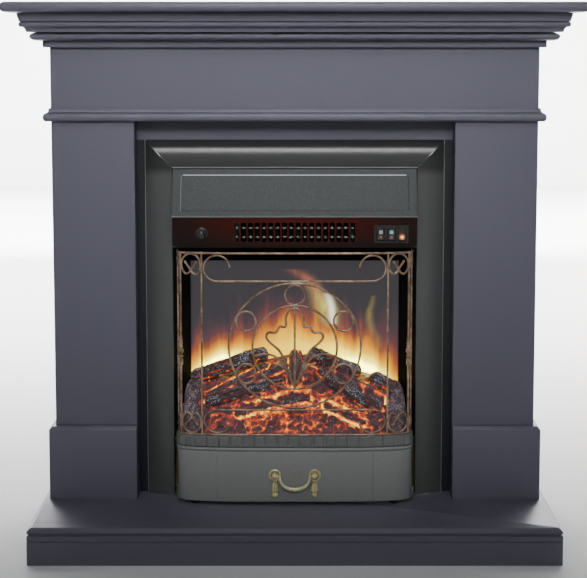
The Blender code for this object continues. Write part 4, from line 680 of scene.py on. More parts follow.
handle_half, axis_z, face_y = 0.03275, base_top_z + 0.0525, front_y + 0.0012
standoff, ball, rosette = 0.0082, 0.0051, 0.0102
pin_y = face_y - standoff
rosette_profile = [(rosette, 0), (rosette, -0.0006), (rosette * 0.97, -0.0012), (rosette * 0.91, -0.0018),
                   (rosette * 0.84, -0.0020), (rosette * 0.77, -0.0017), (rosette * 0.72, -0.0010),
                   (rosette * 0.62, -0.0008), (rosette * 0.52, -0.0012), (rosette * 0.42, -0.0022),
                   (rosette * 0.33, -0.0036)]
rosette_profile += [(ball * math.sin(a), -standoff + ball * math.cos(a))
                    for a in np.radians(np.arange(45, 180, 12))]
tassel_scale, tassel_out, tassel_flutes = (1.25, 0.80, 1.03), 0.0036, 9
tassel_profile = spline([(0.0024, -0.0060), (0.0032, -0.0074), (0.0021, -0.0105), (0.0031, -0.0130),
                         (0.0041, -0.0200), (0.0044, -0.0245), (0.0031, -0.0262), (0.0041, -0.0300),
                         (0.0039, -0.0325), (0.0020, -0.0352)], 5)
for hand, side in (("left", -1), ("right", 1)):
    centre = np.array((side * handle_half, 0, axis_z))
    tassel_points, tassel_faces = turned(tassel_profile, (0, 0, 0), "Z", 64, tassel_flutes, 0.07)
    tassel_points = tassel_points * tassel_scale + centre + (0, face_y - tassel_out, 0)
    piece(f"rosette_casting_{hand}", [turned(rosette_profile, centre + (0, face_y, 0), "Y", 48),
                                      (tassel_points, tassel_faces)],
          brass, "ash_cover", [f"rosette_{hand}"], sharp=50)

# the crescent in (x, drop, radius), between two pins that reach into the balls
pin_tip, arm = handle_half - ball + 0.0030, handle_half - ball - 0.00206
bail_drop, bail_radius, pin_radius = 0.022, 0.0028, 0.0011
turn = np.radians(np.linspace(-87, 87, 21))
bail_curve = np.stack([0.97 * arm * np.sin(turn), bail_drop * np.cos(turn) ** 0.85,
                       bail_radius * (0.50 + 0.74 * np.cos(turn))], -1)
bail_pin = np.array([(pin_tip, 0, pin_radius), (arm, 0, pin_radius)])
bail_line = np.concatenate((bail_pin * (-1, 1, 1), bail_curve, bail_pin[::-1]))
bail_x, bail_z, bail_thick = spline(bail_line, 4).T
bail_path = np.stack([bail_x, np.full_like(bail_x, pin_y), axis_z - bail_z], -1)
piece("bail", [wire(bail_path, (0, -1, 0), bail_thick, 20)], brass, "bail", ["bail_handle"],
      sharp=60)


# Heater hood. Folded sheet over the outlet, with a raised panel pressed into its slope and a rolled lip,
# in grey-green hammered enamel: shallow dimples with lighter flecks between them.
hammered = Finish("hood_steel", (0.10, 0.11, 0.11), 0.42, Specular_IOR_Level=0.30)
dimples = hammered.node("TexVoronoi", 0, Vector=hammered.place, Scale=420.0)
flecks = hammered.spread(hammered.noise(900.0, 3.0, 0.7), 0.0, 0.6, 0.45, 0.75)
hood_cloud = hammered.clouds((0.029, 0.033, 0.034), (0.038, 0.043, 0.043), 9.0, 3.0)
hammered.put(Base_Color=hammered.mix(flecks, hood_cloud, (0.125, 0.135, 0.135)))
hammered.sheen(0.44, 0.60, 140.0)
hammered.bump(dimples, 0.00016, 0.8)

hood_back, top_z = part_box("hood_cover")[1].yz
hood_half, lip_y, slope_in, slope_tall, panel_raise = 0.2012, -0.040, 0.040, 0.076, 0.0012
slope_long = math.hypot(slope_in, slope_tall)
slope_up = np.array((slope_in, slope_tall)) / slope_long  # along the slope, in (y, z)
slope_out = np.array((-slope_tall, slope_in)) / slope_long
panel_half, panel_tall, panel_corner, panel_step = hood_half * 0.93, slope_long * 0.37, 0.006, 0.0018


def panel_height(u, v):
    """Height of the pressed panel at (u, v) on the slope: a smooth step of the distance to a rounded
    rectangle."""
    qu, qv = np.abs(u) - panel_half + panel_corner, np.abs(v) - panel_tall + panel_corner
    outside, within = np.hypot(np.maximum(qu, 0), np.maximum(qv, 0)), np.minimum(np.maximum(qu, qv), 0)
    t = np.clip(0.5 - (outside + within - panel_corner) / panel_step, 0, 1)
    return panel_raise * t * t * (3 - 2 * t)


lip_z = top_z - slope_tall
hx, hz = hammered.axis(0), hammered.axis(2)
panel_z, panel_rise = top_z - slope_tall / 2, panel_tall * slope_tall / slope_long
# painted highlights: a light line along the top edge of the pressed panel, and fainter ones down its left
# edge and along the rolled lip
panel_top_highlight = hammered.times(hammered.near(hz, panel_z + panel_rise, 0.0008),
                          hammered.less(hammered.absolute(hx), panel_half - 0.003))
panel_left_highlight = hammered.times(hammered.near(hx, -panel_half, 0.0007), hammered.near(hz, panel_z, panel_rise))
lip_highlight = hammered.less(hz, lip_z + 0.0016)
hammered.over(panel_top_highlight, (0.42, 0.44, 0.43))
hammered.over(hammered.times(hammered.sum("MAXIMUM", panel_left_highlight, lip_highlight), 0.5), (0.30, 0.32, 0.31))
middle = np.array((lip_y + slope_in / 2, panel_z))
around_panel = np.linspace(-0.0085, 0.0025, 12)
v = np.unique(np.concatenate((np.linspace(-slope_long / 2 + 0.0022, slope_long / 2 - 0.0016, 24),
                              panel_tall + around_panel, -panel_tall - around_panel)))
u = np.unique(np.concatenate((np.linspace(-hood_half, hood_half, 41), panel_half + around_panel,
                              -panel_half - around_panel)))
lip = np.array([(0.0011, -0.0002), (0.0003, 0.0003), (0.0, 0.0011), (0.00005, 0.0018)]) + (lip_y, lip_z)
bend_top = np.array([(-0.0005, -0.0008), (0.0, -0.0003), (0.0008, 0.0), (0.004, 0.0)])
bend_top += (lip_y + slope_in, top_z)
face = middle + v[:, None] * slope_up
outer = np.concatenate((lip, face, bend_top, [(hood_back, top_z)]))
inner = outer[::-1] - sheet * 0.6 * np.array((-0.9, 1.0))
inner[0] = (hood_back, top_z - sheet)
section = np.concatenate((outer, inner))
lift = np.zeros((len(u), len(section)))
lift[:, len(lip):len(lip) + len(v)] = panel_height(u[:, None], v[None, :])
yz = section[None] + lift[..., None] * slope_out
hood_sheet = skin(np.concatenate((np.broadcast_to(u[:, None, None], (len(u), len(section), 1)), yz), -1))
cheek = [(hood_back, top_z - 0.0006), (hood_back, lip_z + 0.0004), (lip_y + 0.0012, lip_z + 0.0003),
         (lip_y + 0.0014, lip_z + 0.0030), (lip_y + slope_in + 0.0006, top_z - 0.0012)]
cheeks = [skin(np.array([[(x, *corner) for corner in cheek]
                         for x in (side * hood_half, side * (hood_half - sheet))])) for side in (-1, 1)]
piece("hood_sheet", [hood_sheet] + cheeks, hammered, "suite", ["hood_cover"], sharp=50)


# Outlet fascia and element. The slotted plate carries the dimmer and the switches, and its colour holds a
# painted glow: red-brown light of the element towards its middle, fading to dark at its foot. Behind it two
# coiled wires run through mica cards and ceramic beads.
fascia_z = 0.4865
glow_painted_steel = Finish("steel_with_painted_glow", (0.04, 0.02, 0.015), 0.5, Specular_IOR_Level=0.10)
# painted glow: the element's red light on the plate, strongest in the middle and fading towards the foot
centre_share = glow_painted_steel.spread(glow_painted_steel.absolute(glow_painted_steel.axis(0)), 1.0, 0.0, 0.03, 0.185)
painted_glow = glow_painted_steel.sum("MULTIPLY_ADD", glow_painted_steel.noise(14.0, 4.0), 0.35, glow_painted_steel.times(centre_share, 0.85))
painted_glow = glow_painted_steel.times(painted_glow, glow_painted_steel.spread(glow_painted_steel.axis(2), 0.10, 1.0, fascia_z, fascia_z + 0.0315))
painted_glow_tones = [(0.10, (0.012, 0.008, 0.007)), (0.55, (0.034, 0.0060, 0.0040)),
               (1.0, (0.052, 0.0070, 0.0045))]
glow_painted_steel.put(Base_Color=glow_painted_steel.ramp(painted_glow, painted_glow_tones))
glow_painted_steel.sheen(0.40, 0.56, 120.0)
glow_painted_steel.grain(0.00003, 900.0, 2.0)
glow_painted_steel.on("outlet_fascia")

control_z, slot_pitch, slots = fascia_z + 0.0225, 0.01115, 18
ceramic = Finish("ceramic_and_wire", (0.5, 0.52, 0.48), 0.5)
from_end = ceramic.sum("ADD", ceramic.axis(0), slots * slot_pitch)
across_slot = ceramic.sum("PINGPONG", from_end, slot_pitch / 2)
glazed = ceramic.near(across_slot, slot_pitch / 2, 0.0027)
oxide = ceramic.clouds((0.010, 0.009, 0.008), (0.022, 0.020, 0.018), 90.0)
glaze = ceramic.clouds((0.10, 0.12, 0.09), (0.19, 0.21, 0.16), 300.0, 3.0)
ceramic.put(Base_Color=ceramic.mix(glazed, oxide, glaze))
ceramic.sheen(0.35, 0.6, 90.0)
element_low, element_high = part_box("heating_element")
element_y = (element_low.y + element_high.y) / 2
half_element, coil_radius, coil_swell, coil_pitch = 0.092, 0.0012, 0.0004, 0.0026
card_thick, card_top = 0.0012, element_low.z + 0.040
bead = [(0.0008, -0.0022), (0.0017, -0.0018), (0.0021, -0.0008), (0.0021, 0.0008), (0.0017, 0.0018),
        (0.0008, 0.0022)]
wires, cards = [], []
for z in (element_low.z + 0.015, element_low.z + 0.030):
    along = np.linspace(-half_element, half_element, 577)
    coil = coil_radius + coil_swell * np.cos(2 * np.pi * along / coil_pitch)
    wires.append(turned(np.stack([coil, along], -1), (0, element_y, z), "X", 8))
    for index in range(slots):
        wires.append(turned(bead, ((index - (slots - 1) / 2) * slot_pitch, element_y, z), "X", 10))
for x in np.linspace(-half_element, half_element - card_thick, 5):
    at_end = abs(abs(x + card_thick / 2) - half_element) < 0.001
    low_z = element_low.z + (0.0 if at_end else 0.004)
    outline = eased([(element_low.y, low_z), (element_high.y, low_z), (element_high.y, card_top),
                     (element_low.y, card_top)], 0.0006)
    cards.append(skin(np.array([np.column_stack((np.full(len(outline), e), outline))
                                for e in (x, x + card_thick)])))
piece("element_beads", wires + cards, ceramic, "suite", ["heating_element"], sharp=50)


# Dimmer knob and rockers. Moulded black knob with a knurled grip and a white pointer. The first two rockers
# have a pale square on their upper half, and the third is clear amber with its neon lit.
knob_x, fascia_y = -0.1525, -0.037
knob_base = fascia_y - gap
knob = Finish("knob_plastic", (0.016, 0.016, 0.017), 0.36)
pointer = knob.times(knob.near(knob.axis(0), knob_x, 0.00045),
                     knob.near(knob.axis(2), control_z + 0.0040, 0.0022))
knob_cloud = knob.clouds((0.013, 0.012, 0.012), (0.026, 0.024, 0.023), 90.0)
knob.put(Base_Color=knob.mix(pointer, knob_cloud, (0.70, 0.69, 0.66)))
knob.sheen(0.26, 0.42, 900.0)
knob.grain(0.00002, 1500.0)
skirt = [(0.0034, 0.0), (0.0104, 0.0), (0.0109, -0.0004), (0.0109, -0.0010), (0.0105, -0.0015),
         (0.0096, -0.0018), (0.0088, -0.0024), (0.0078, -0.0027)]
grip = [(0.0066, -0.0030), (0.0064, -0.0050), (0.0062, -0.0080), (0.0060, -0.0098)]
crown = [(0.0057, -0.0106), (0.0052, -0.0111), (0.0046, -0.0110), (0.0041, -0.0106), (0.0020, -0.0105),
         (0.0004, -0.0105)]
place = (knob_x, knob_base, control_z)
piece("knob_moulding", [turned(skirt + grip[:1], place, "Y", 56), turned(grip, place, "Y", 96, 24, 0.035),
                        turned(grip[-1:] + crown, place, "Y", 56)],
      knob, "knob", ["dimmer_knob"], sharp=50)

switch_x, switch_pitch, rocker_half, rocker_tall, tilt = 0.1583, 0.0174, 0.0061, 0.0104, math.radians(-6)
pivot_y, mark_z, neon_z = fascia_y + 0.0010, control_z + 0.0036, control_z - 0.0045
for index in range(3):
    x = switch_x + (index - 1) * switch_pitch
    lit = index == 2
    rocker = Finish(f"rocker_{index + 1}_plastic", (0.02, 0.02, 0.02), 0.32)
    rz = rocker.axis(2)
    from_x = rocker.absolute(rocker.sum("SUBTRACT", rocker.axis(0), x))
    if lit:
        from_z = rocker.sum("SUBTRACT", rz, neon_z)
        squares = rocker.sum("ADD", rocker.times(from_x, from_x), rocker.times(from_z, from_z))
        glow = rocker.spread(rocker.sum("SQRT", squares), 1.0, 0.0, 0.0004, 0.0065)
        neon_tones = [(0.0, 0.0), (0.45, (0.10, 0.018, 0.003)), (0.75, (1.1, 0.26, 0.05)),
                      (1.0, (4.0, 1.9, 0.8))]
        rocker.put(Base_Color=rocker.mix(glow, (0.030, 0.022, 0.016), (0.50, 0.13, 0.03)),
                   Emission_Color=rocker.ramp(glow, neon_tones), Emission_Strength=1.0)
    else:
        tone = rocker.clouds((0.016, 0.016, 0.017), (0.026, 0.026, 0.027), 200.0)
        from_mark = rocker.absolute(rocker.sum("SUBTRACT", rz, mark_z))
        mark = rocker.less(rocker.sum("MAXIMUM", from_x, from_mark), 0.0030)
        rocker.put(Base_Color=rocker.mix(mark, tone, ((0.30, 0.30, 0.32), (0.27, 0.38, 0.38))[index]))
        unlit = rocker.times(rocker.less(from_x, 0.0016), rocker.near(rz, neon_z, 0.0016))
        rocker.over(unlit, ((0.34, 0.10, 0.03), (0.45, 0.03, 0.02))[index])
    rocker.sheen(0.24, 0.38, 700.0)
    rocker.grain(0.00001, 1500.0)
    z = np.linspace(-rocker_tall + 0.0010, rocker_tall - 0.0010, 15)
    front = np.stack([-0.0044 - 0.0020 * (z / (rocker_tall - 0.001)) ** 2, z], -1)
    outline = np.concatenate((front, [(-0.0062, rocker_tall - 0.0003), (-0.0056, rocker_tall),
                                      (0.0010, rocker_tall - 0.0016), (0.0038, rocker_tall * 0.45),
                                      (0.0038, -rocker_tall * 0.45), (0.0010, 0.0016 - rocker_tall),
                                      (-0.0056, -rocker_tall), (-0.0062, 0.0003 - rocker_tall)]))
    rows = []
    for side_x, inset in ((-rocker_half, 0.0005), (-rocker_half + 0.0001, 0.0002),
                          (-rocker_half + 0.0005, 0.0), (rocker_half - 0.0005, 0.0),
                          (rocker_half - 0.0001, 0.0002), (rocker_half, 0.0005)):
        ring = outline * (1 - inset / rocker_tall)
        ring[:, 0] = outline[:, 0] + np.where(outline[:, 0] < -0.004, inset, 0)
        y = ring[:, 0] * math.cos(tilt) - ring[:, 1] * math.sin(tilt) + pivot_y
        z = ring[:, 0] * math.sin(tilt) + ring[:, 1] * math.cos(tilt) + control_z
        rows.append(np.stack([np.full(len(y), x + side_x), y, z], -1))
    pin_half = rocker_half + 0.0014
    pin = turned([(0.0012, -pin_half), (0.0012, pin_half)], (x, pivot_y, control_z), "X", 16)
    piece(f"rocker_moulding_{index + 1}", [skin(np.array(rows)), pin], rocker, f"rocker_{index + 1}",
          [f"rocker_switch_{index + 1}"], sharp=40)


# Flame screen. A smoked diffusing sheet; the turning blades behind it throw flames on it from below, white
# and yellow over the logs, orange higher up, with one tall wisp right of the middle and a fainter one.
flames = Finish("flame_picture", (0.012, 0.012, 0.013), 0.30, Specular_IOR_Level=0.25)
fx, fz = flames.axis(0), flames.axis(2)


def graph(value, points):
    """Number read from a smooth curve drawn through (value, result) pairs."""
    place, result = np.asarray(points, float).T
    low, high = result.min(), result.max()
    made = flames.tree.nodes.new("ShaderNodeFloatCurve")
    line = made.mapping.curves[0]
    shares = np.stack([(place - place[0]) / (place[-1] - place[0]), (result - low) / (high - low)], -1)
    while len(line.points) < len(shares):
        line.points.new(0.5, 0.5)
    for point, (along, up) in zip(line.points, shares):
        point.location = (along, up)
        point.handle_type = "AUTO"
    made.mapping.update()
    flames.tree.links.new(flames.spread(value, 0.0, 1.0, place[0], place[-1]), made.inputs["Value"])
    return flames.spread(made.outputs[0], low, high)


# the glow falls off with the share of the way from foot to crest, as exp(-1.55 (ragged * share)^fullness)
rise = flames.spread(fz, 0.0, 1.0, 0.27, 0.40)
sway = flames.sum("SUBTRACT", flames.noise(11.0, 3.0, 0.55, (1.0, 1.0, 0.6)), 0.5)
lean_x = flames.sum("MULTIPLY_ADD", flames.times(sway, 0.05), rise, fx)
foot = graph(lean_x, [(-0.182, 0.258), (-0.147, 0.2705), (-0.1055, 0.283), (-0.060, 0.295), (-0.0025, 0.303),
                      (0.036, 0.294), (0.067, 0.290), (0.109, 0.264), (0.142, 0.255), (0.182, 0.250)])
crest = graph(lean_x, [(-0.182, 0.335), (-0.155, 0.343), (-0.11, 0.355), (-0.08, 0.366), (-0.05, 0.384),
                       (0.0, 0.397), (0.03, 0.399), (0.06, 0.389), (0.09, 0.374), (0.12, 0.352),
                       (0.155, 0.350), (0.182, 0.335)])
fullness = graph(lean_x, [(-0.182, 1.25), (-0.15, 1.4), (-0.13, 1.5), (-0.10, 1.4), (-0.06, 1.8), (0.0, 2.2),
                          (0.05, 2.2), (0.085, 1.6), (0.12, 1.45), (0.15, 1.2), (0.182, 0.9)])
brightness = graph(lean_x, [(-0.182, 0.80), (-0.165, 0.90), (-0.135, 1.08), (-0.10, 0.98), (-0.06, 0.74),
                            (0.0, 0.76), (0.05, 0.80), (0.085, 0.94), (0.115, 1.10), (0.145, 1.00),
                            (0.165, 0.76), (0.182, 0.58)])
licks = flames.noise(1.0, 2.0, 0.45, (48.0, 0.0, 8.0), distortion=0.25)
fine_licks = flames.noise(1.0, 2.0, 0.5, (150.0, 0.0, 9.0), distortion=0.1)
ragged = flames.sum("ADD", flames.spread(licks, 0.70, 1.40, 0.28, 0.72),
                    flames.spread(fine_licks, -0.07, 0.07, 0.3, 0.7))
share = flames.sum("DIVIDE", flames.sum("SUBTRACT", fz, foot), flames.sum("SUBTRACT", crest, foot))
raised = flames.times(flames.sum("MAXIMUM", share, 0.0), ragged)
falling = flames.sum("EXPONENT", flames.times(flames.sum("POWER", raised, fullness), -1.55))
heat = flames.times(brightness, flames.spread(falling, 0.0, 1.0, 0.10, 1.0))
FLAME_COLOURS = [(0.0, (0.047, 0.043, 0.048)), (0.10, (0.070, 0.047, 0.055)), (0.24, (0.150, 0.052, 0.060)),
                 (0.40, (0.42, 0.105, 0.040)), (0.56, (1.05, 0.36, 0.010)), (0.72, (1.8, 0.95, 0.03)),
                 (0.88, (3.6, 2.9, 0.20)), (1.0, (11.0, 9.5, 1.8))]
fire = flames.ramp(heat, FLAME_COLOURS)


def wisp(line, half_width, gate):
    """Strength of a thin flame: exp(-(distance to a drawn centre line / half width)^2), faded by height."""
    off = flames.sum("DIVIDE", flames.sum("SUBTRACT", fx, graph(fz, line)), graph(fz, half_width))
    body = flames.sum("EXPONENT", flames.times(flames.times(off, off), -1.0))
    return flames.times(body, graph(fz, gate))


tall = wisp([(0.335, 0.062), (0.350, 0.0585), (0.374, 0.053), (0.399, 0.038), (0.418, 0.026), (0.430, 0.012),
             (0.440, -0.004)],
            [(0.335, 0.0130), (0.374, 0.0150), (0.405, 0.0110), (0.425, 0.0120), (0.440, 0.0160)],
            [(0.335, 0.0), (0.356, 0.50), (0.385, 0.72), (0.405, 0.60), (0.425, 0.50), (0.440, 0.0)])
faint = wisp([(0.300, 0.141), (0.320, 0.1385), (0.340, 0.1300), (0.362, 0.1270), (0.380, 0.1310),
              (0.395, 0.1340)],
             [(0.300, 0.0080), (0.340, 0.0065), (0.395, 0.0035)],
             [(0.300, 0.0), (0.325, 0.45), (0.360, 0.50), (0.382, 0.40), (0.395, 0.0)])
streak = wisp([(0.345, 0.0650), (0.360, 0.0640), (0.385, 0.0600), (0.400, 0.052)],
              [(0.345, 0.0050), (0.400, 0.0060)],
              [(0.345, 0.0), (0.360, 0.55), (0.380, 0.50), (0.400, 0.0)])
wisp_tone = flames.ramp(flames.spread(fz, 0.0, 1.0, 0.34, 0.446),
                        [(0.0, (1.5, 1.05, 0.14)), (0.35, (1.25, 0.98, 0.16)), (0.60, (1.00, 0.55, 0.16)),
                         (0.75, (0.85, 0.25, 0.12)), (1.0, (0.50, 0.15, 0.10))])
torn = flames.noise(1.0, 3.0, 0.5, (70.0, 0.0, 34.0), distortion=0.6)
torn = flames.spread(torn, 0.55, 1.15, 0.3, 0.65)
picture = flames.mix(flames.times(tall, torn), fire, wisp_tone)
picture = flames.mix(flames.times(faint, torn), picture, (0.45, 0.33, 0.085))
picture = flames.mix(streak, picture, (2.4, 2.5, 1.9))
shown = flames.spread(flames.absolute(fx), 1.0, 0.0, 0.1745, 0.1775)
flames.put(Emission_Color=flames.mix(shown, (0.0, 0.0, 0.0), picture), Emission_Strength=1.0)
flames.on("flame_screen")


# Fuel bed. One moulding of embers and half-buried sticks, with loose logs laid in its seats. Resin, cast
# over a translucent shell: black char, ridges brushed with silver ash, and red light in the hollows.
def fuel(name, char, ash_colour, glow_strength):
    """Finish of the moulding. The attribute "ember" runs from -1, ash on a ridge, to 1, a glowing hollow."""
    made = Finish(name, (0.03, 0.03, 0.03), 0.6)
    heat = made.node("Attribute", "Fac", (("attribute_name", "ember"),))
    speckle, grit = made.noise(460.0, 4.0, 0.72), made.noise(1050.0, 2.0, 0.6)
    flecks = made.spread(made.noise(430.0, 3.0, 0.75), 0.0, 1.0, 0.48, 0.58)
    level = made.sum("ADD", made.sum("MULTIPLY_ADD", grit, 0.9, heat),
                     made.sum("MULTIPLY_ADD", speckle, 2.1, -1.62))
    ash = made.sum("ADD", made.spread(heat, 1.0, 0.0, -0.75, -0.18),
                   made.spread(level, 0.40, 0.0, -0.60, -0.10))
    ash = made.times(made.sum("MINIMUM", ash, 1.0), flecks)
    glow = made.spread(level, 0.0, 1.0, 0.0, 1.05)
    surface = made.mix(ash, made.clouds(char, tuple(2.2 * c for c in char), 160.0, 5.0, 0.7), ash_colour)
    glow_tones = [(0.0, (0.010, 0.004, 0.005)), (0.14, (0.055, 0.016, 0.019)), (0.30, (0.20, 0.022, 0.014)),
                  (0.44, (0.50, 0.040, 0.006)), (0.60, (0.80, 0.140, 0.004)), (0.76, (1.05, 0.33, 0.004)),
                  (0.90, (1.35, 0.66, 0.02)), (1.0, (1.9, 1.3, 0.12))]
    made.put(Base_Color=made.mix(glow, surface, (0.30, 0.035, 0.010)),
             Roughness=made.spread(speckle, 0.34, 0.75, 0.3, 0.7),
             Emission_Color=made.ramp(glow, glow_tones), Emission_Strength=glow_strength)
    made.bump(made.noise(260.0, 5.0, 0.65), 0.0012)
    made.bump(grit, 0.0006)
    return made


embers = fuel("ember_moulding", (0.036, 0.024, 0.030), (0.36, 0.33, 0.36), 1.15)
charred = fuel("charred_log", (0.014, 0.013, 0.015), (0.42, 0.43, 0.48), 0.9)


def rough(points, size, seed):
    """Smooth noise from -1 to 1: random values on a lattice of that cell size, blended by 3t^2 - 2t^3."""
    table = np.random.default_rng(seed).uniform(-1, 1, (32, 32, 32))
    at = np.asarray(points) / size
    cell = np.floor(at).astype(int)
    t = at - cell
    t = t * t * (3 - 2 * t)
    total = 0.0
    for corner in np.ndindex(2, 2, 2):
        weight = np.prod(np.where(corner, t, 1 - t), axis=-1)
        i, j, k = np.moveaxis((cell + corner) % 32, -1, 0)
        total = total + weight * table[i, j, k]
    return total


def smooth_step(value, low, high):
    """0 below low, 1 above high, 3t^2 - 2t^3 between them."""
    t = np.clip((value - low) / (high - low), 0, 1)
    return t * t * (3 - 2 * t)


bed_front, bed_back, bed_inset, bed_thick, glass_half = fret_high.z + 0.0008, 0.0492, 0.009, 0.022, 0.1765


def mound(x, depth):
    """Height of the bed without its lumps: front + (rim(x) - front) * (1 - (1 - depth)^p), where the power p
    grows from 1.5 in the middle to 4.1 at the ends, where lumps of char stand against the walls."""
    rim = np.interp(x, [-0.188, -0.120, -0.060, -0.008, 0.050, 0.100, 0.188],
                    base_top_z + np.array([0.190, 0.204, 0.222, 0.234, 0.224, 0.208, 0.184]))
    power = 1.5 + 2.6 * smooth_step(np.abs(x), 0.145, 0.180)
    return bed_front + (rim - bed_front) * (1 - (1 - depth) ** power)


def plan_y(x, inset):
    """y of the plan curve at x: front + bow - (bow - inset) * (1 - (|x| / (half - inset))^4)^(1/4)."""
    share = np.minimum(np.abs(x) / (front_half - inset), 1.0)
    return front_y + front_bow - (front_bow - inset) * (1 - share ** 4) ** 0.25


def on_bed(x, depth, lift):
    """Point over the bed at x and a share of its depth, lifted from the surface."""
    front = plan_y(x, bed_inset)
    return np.array((x, front + depth * (bed_back - front), mound(x, depth) + lift))


# ends as (x, y, z), and radius
LOGS = {"back_left": ((-0.176, 0.033, 0.256), (-0.045, 0.031, 0.300), 0.0140),
        "front_left": ((-0.150, -0.012, 0.222), (-0.012, 0.006, 0.256), 0.0125),
        "back_right": ((0.024, 0.028, 0.300), (0.112, 0.031, 0.264), 0.0135),
        "front_right": ((0.036, 0.008, 0.272), (0.140, -0.022, 0.210), 0.0120),
        "end_right": ((0.124, 0.018, 0.260), (0.172, 0.006, 0.238), 0.0165)}
# half-buried sticks, part of the moulding: ends as (x, depth share, lift), and radius
STICKS = [((-0.186, 0.55, -0.004), (-0.150, 0.90, 0.002), 0.0105),
          ((0.002, 0.93, 0.006), (0.000, 0.55, 0.003), 0.0115),
          ((0.018, 0.95, 0.000), (0.150, 0.52, -0.001), 0.0120),
          ((-0.118, 0.56, -0.003), (-0.020, 0.78, -0.003), 0.0110),
          ((-0.150, 0.50, -0.002), (-0.052, 0.86, -0.002), 0.0085),
          ((0.052, 0.70, -0.002), (0.150, 0.36, -0.004), 0.0080),
          ((-0.095, 0.26, -0.004), (0.020, 0.38, -0.003), 0.0075),
          ((0.052, 0.30, -0.004), (0.112, 0.16, -0.003), 0.0065),
          ((0.158, 0.30, -0.004), (0.182, 0.75, -0.004), 0.0100),
          ((-0.184, 0.20, -0.004), (-0.160, 0.45, -0.004), 0.0095)]
# brightest places of the bed: strength, x, depth share, and how far each reaches in x and in depth share
HOT = [(0.50, 0.055, 0.30, 0.035, 0.14), (0.36, -0.050, 0.22, 0.045, 0.12),
       (0.40, -0.110, 0.52, 0.035, 0.10), (0.16, 0.0, 0.74, 0.055, 0.16)]
columns, rows = 300, 120
u, v = np.meshgrid(np.linspace(-1, 1, columns), np.linspace(0, 1, rows), indexing="ij")
edge_x, edge_y = front_curve(u, bed_inset)
x = edge_x + (u * (glass_half - 0.0012) - edge_x) * v
y = edge_y + (bed_back - edge_y) * v
level = mound(x, v)
flat = np.stack([x, y, level], -1)
coarse, medium, small = rough(flat, 0.015, 3), rough(flat, 0.0065, 4), rough(flat, 0.0028, 5)
inside = np.minimum(1, np.minimum(np.minimum(14 * v, 30 * (1 - v)), 40 * (1 - np.abs(u))))
relief = 0.0022 * coarse + 0.0018 * medium + 0.0009 * small
relief = relief * (1 + 1.6 * smooth_step(np.abs(x), 0.150, 0.172))
bed_z = level + relief * inside
hot = sum(strength * np.exp(-((x - hot_x) / wide) ** 2 - ((v - hot_v) / deep) ** 2)
          for strength, hot_x, hot_v, wide, deep in HOT)
veins = np.exp(-(rough(flat, 0.0085, 6) / 0.16) ** 2)
bed_heat = (-0.10 + 0.10 * smooth_step(0.34 - v, 0.0, 0.10) - 0.34 * coarse - 0.30 * medium - 0.22 * small
            + 0.52 * veins + hot - 0.55 * smooth_step(np.abs(x), 0.142, 0.168)
            - 0.30 * smooth_step(v, 0.70, 0.95))
ashen = 0.25 * smooth_step(np.abs(x), 0.145, 0.165)
for first, second, radius in STICKS:
    start, end = on_bed(*first), on_bed(*second)
    axis = end - start
    plan_long = np.hypot(axis[0], axis[1])
    along = ((x - start[0]) * axis[0] + (y - start[1]) * axis[1]) / (axis[0] ** 2 + axis[1] ** 2)
    held = np.clip(along, 0, 1)
    away = np.hypot(x - start[0] - held * axis[0], y - start[1] - held * axis[1])
    beside = ((x - start[0]) * axis[1] - (y - start[1]) * axis[0]) / plan_long
    bark_place = [held * plan_long / 0.013, beside / 0.0042, np.full_like(away, radius * 900)]
    bark = rough(np.stack(bark_place, -1), 1.0, 9)
    thick = radius * (1 + 0.16 * bark + 0.07 * small)
    crown_z = start[2] + held * axis[2] + np.sqrt(np.maximum(thick ** 2 - away ** 2, 0)) - radius * 0.35
    on_stick = (away < thick * 0.98) & (crown_z > bed_z)
    seam_glow = (0.70 - 2 * ashen) * np.exp(-((away - radius) / 0.0030) ** 2)
    bed_heat = np.where(on_stick, -0.22 - ashen - 0.70 * bark - 0.3 * small, bed_heat + seam_glow)
    bed_z = np.where(on_stick, crown_z * inside + bed_z * (1 - inside), bed_z)
at_edge = (v < 0.001) | (v > 0.999) | (np.abs(u) > 0.999)
under = np.where(at_edge, fret_low.z, np.maximum(fret_low.z, bed_z - bed_thick))
ring = np.concatenate((np.stack([x, y, bed_z], -1), np.stack([x, y, under], -1)[:, ::-1]), 1)
bed_values = np.concatenate((bed_heat, np.full(bed_heat.shape, 0.2)), 1)
piece("ember_moulding", [skin(ring)], embers, "suite", ["ember_bed"], 70, bed_values)

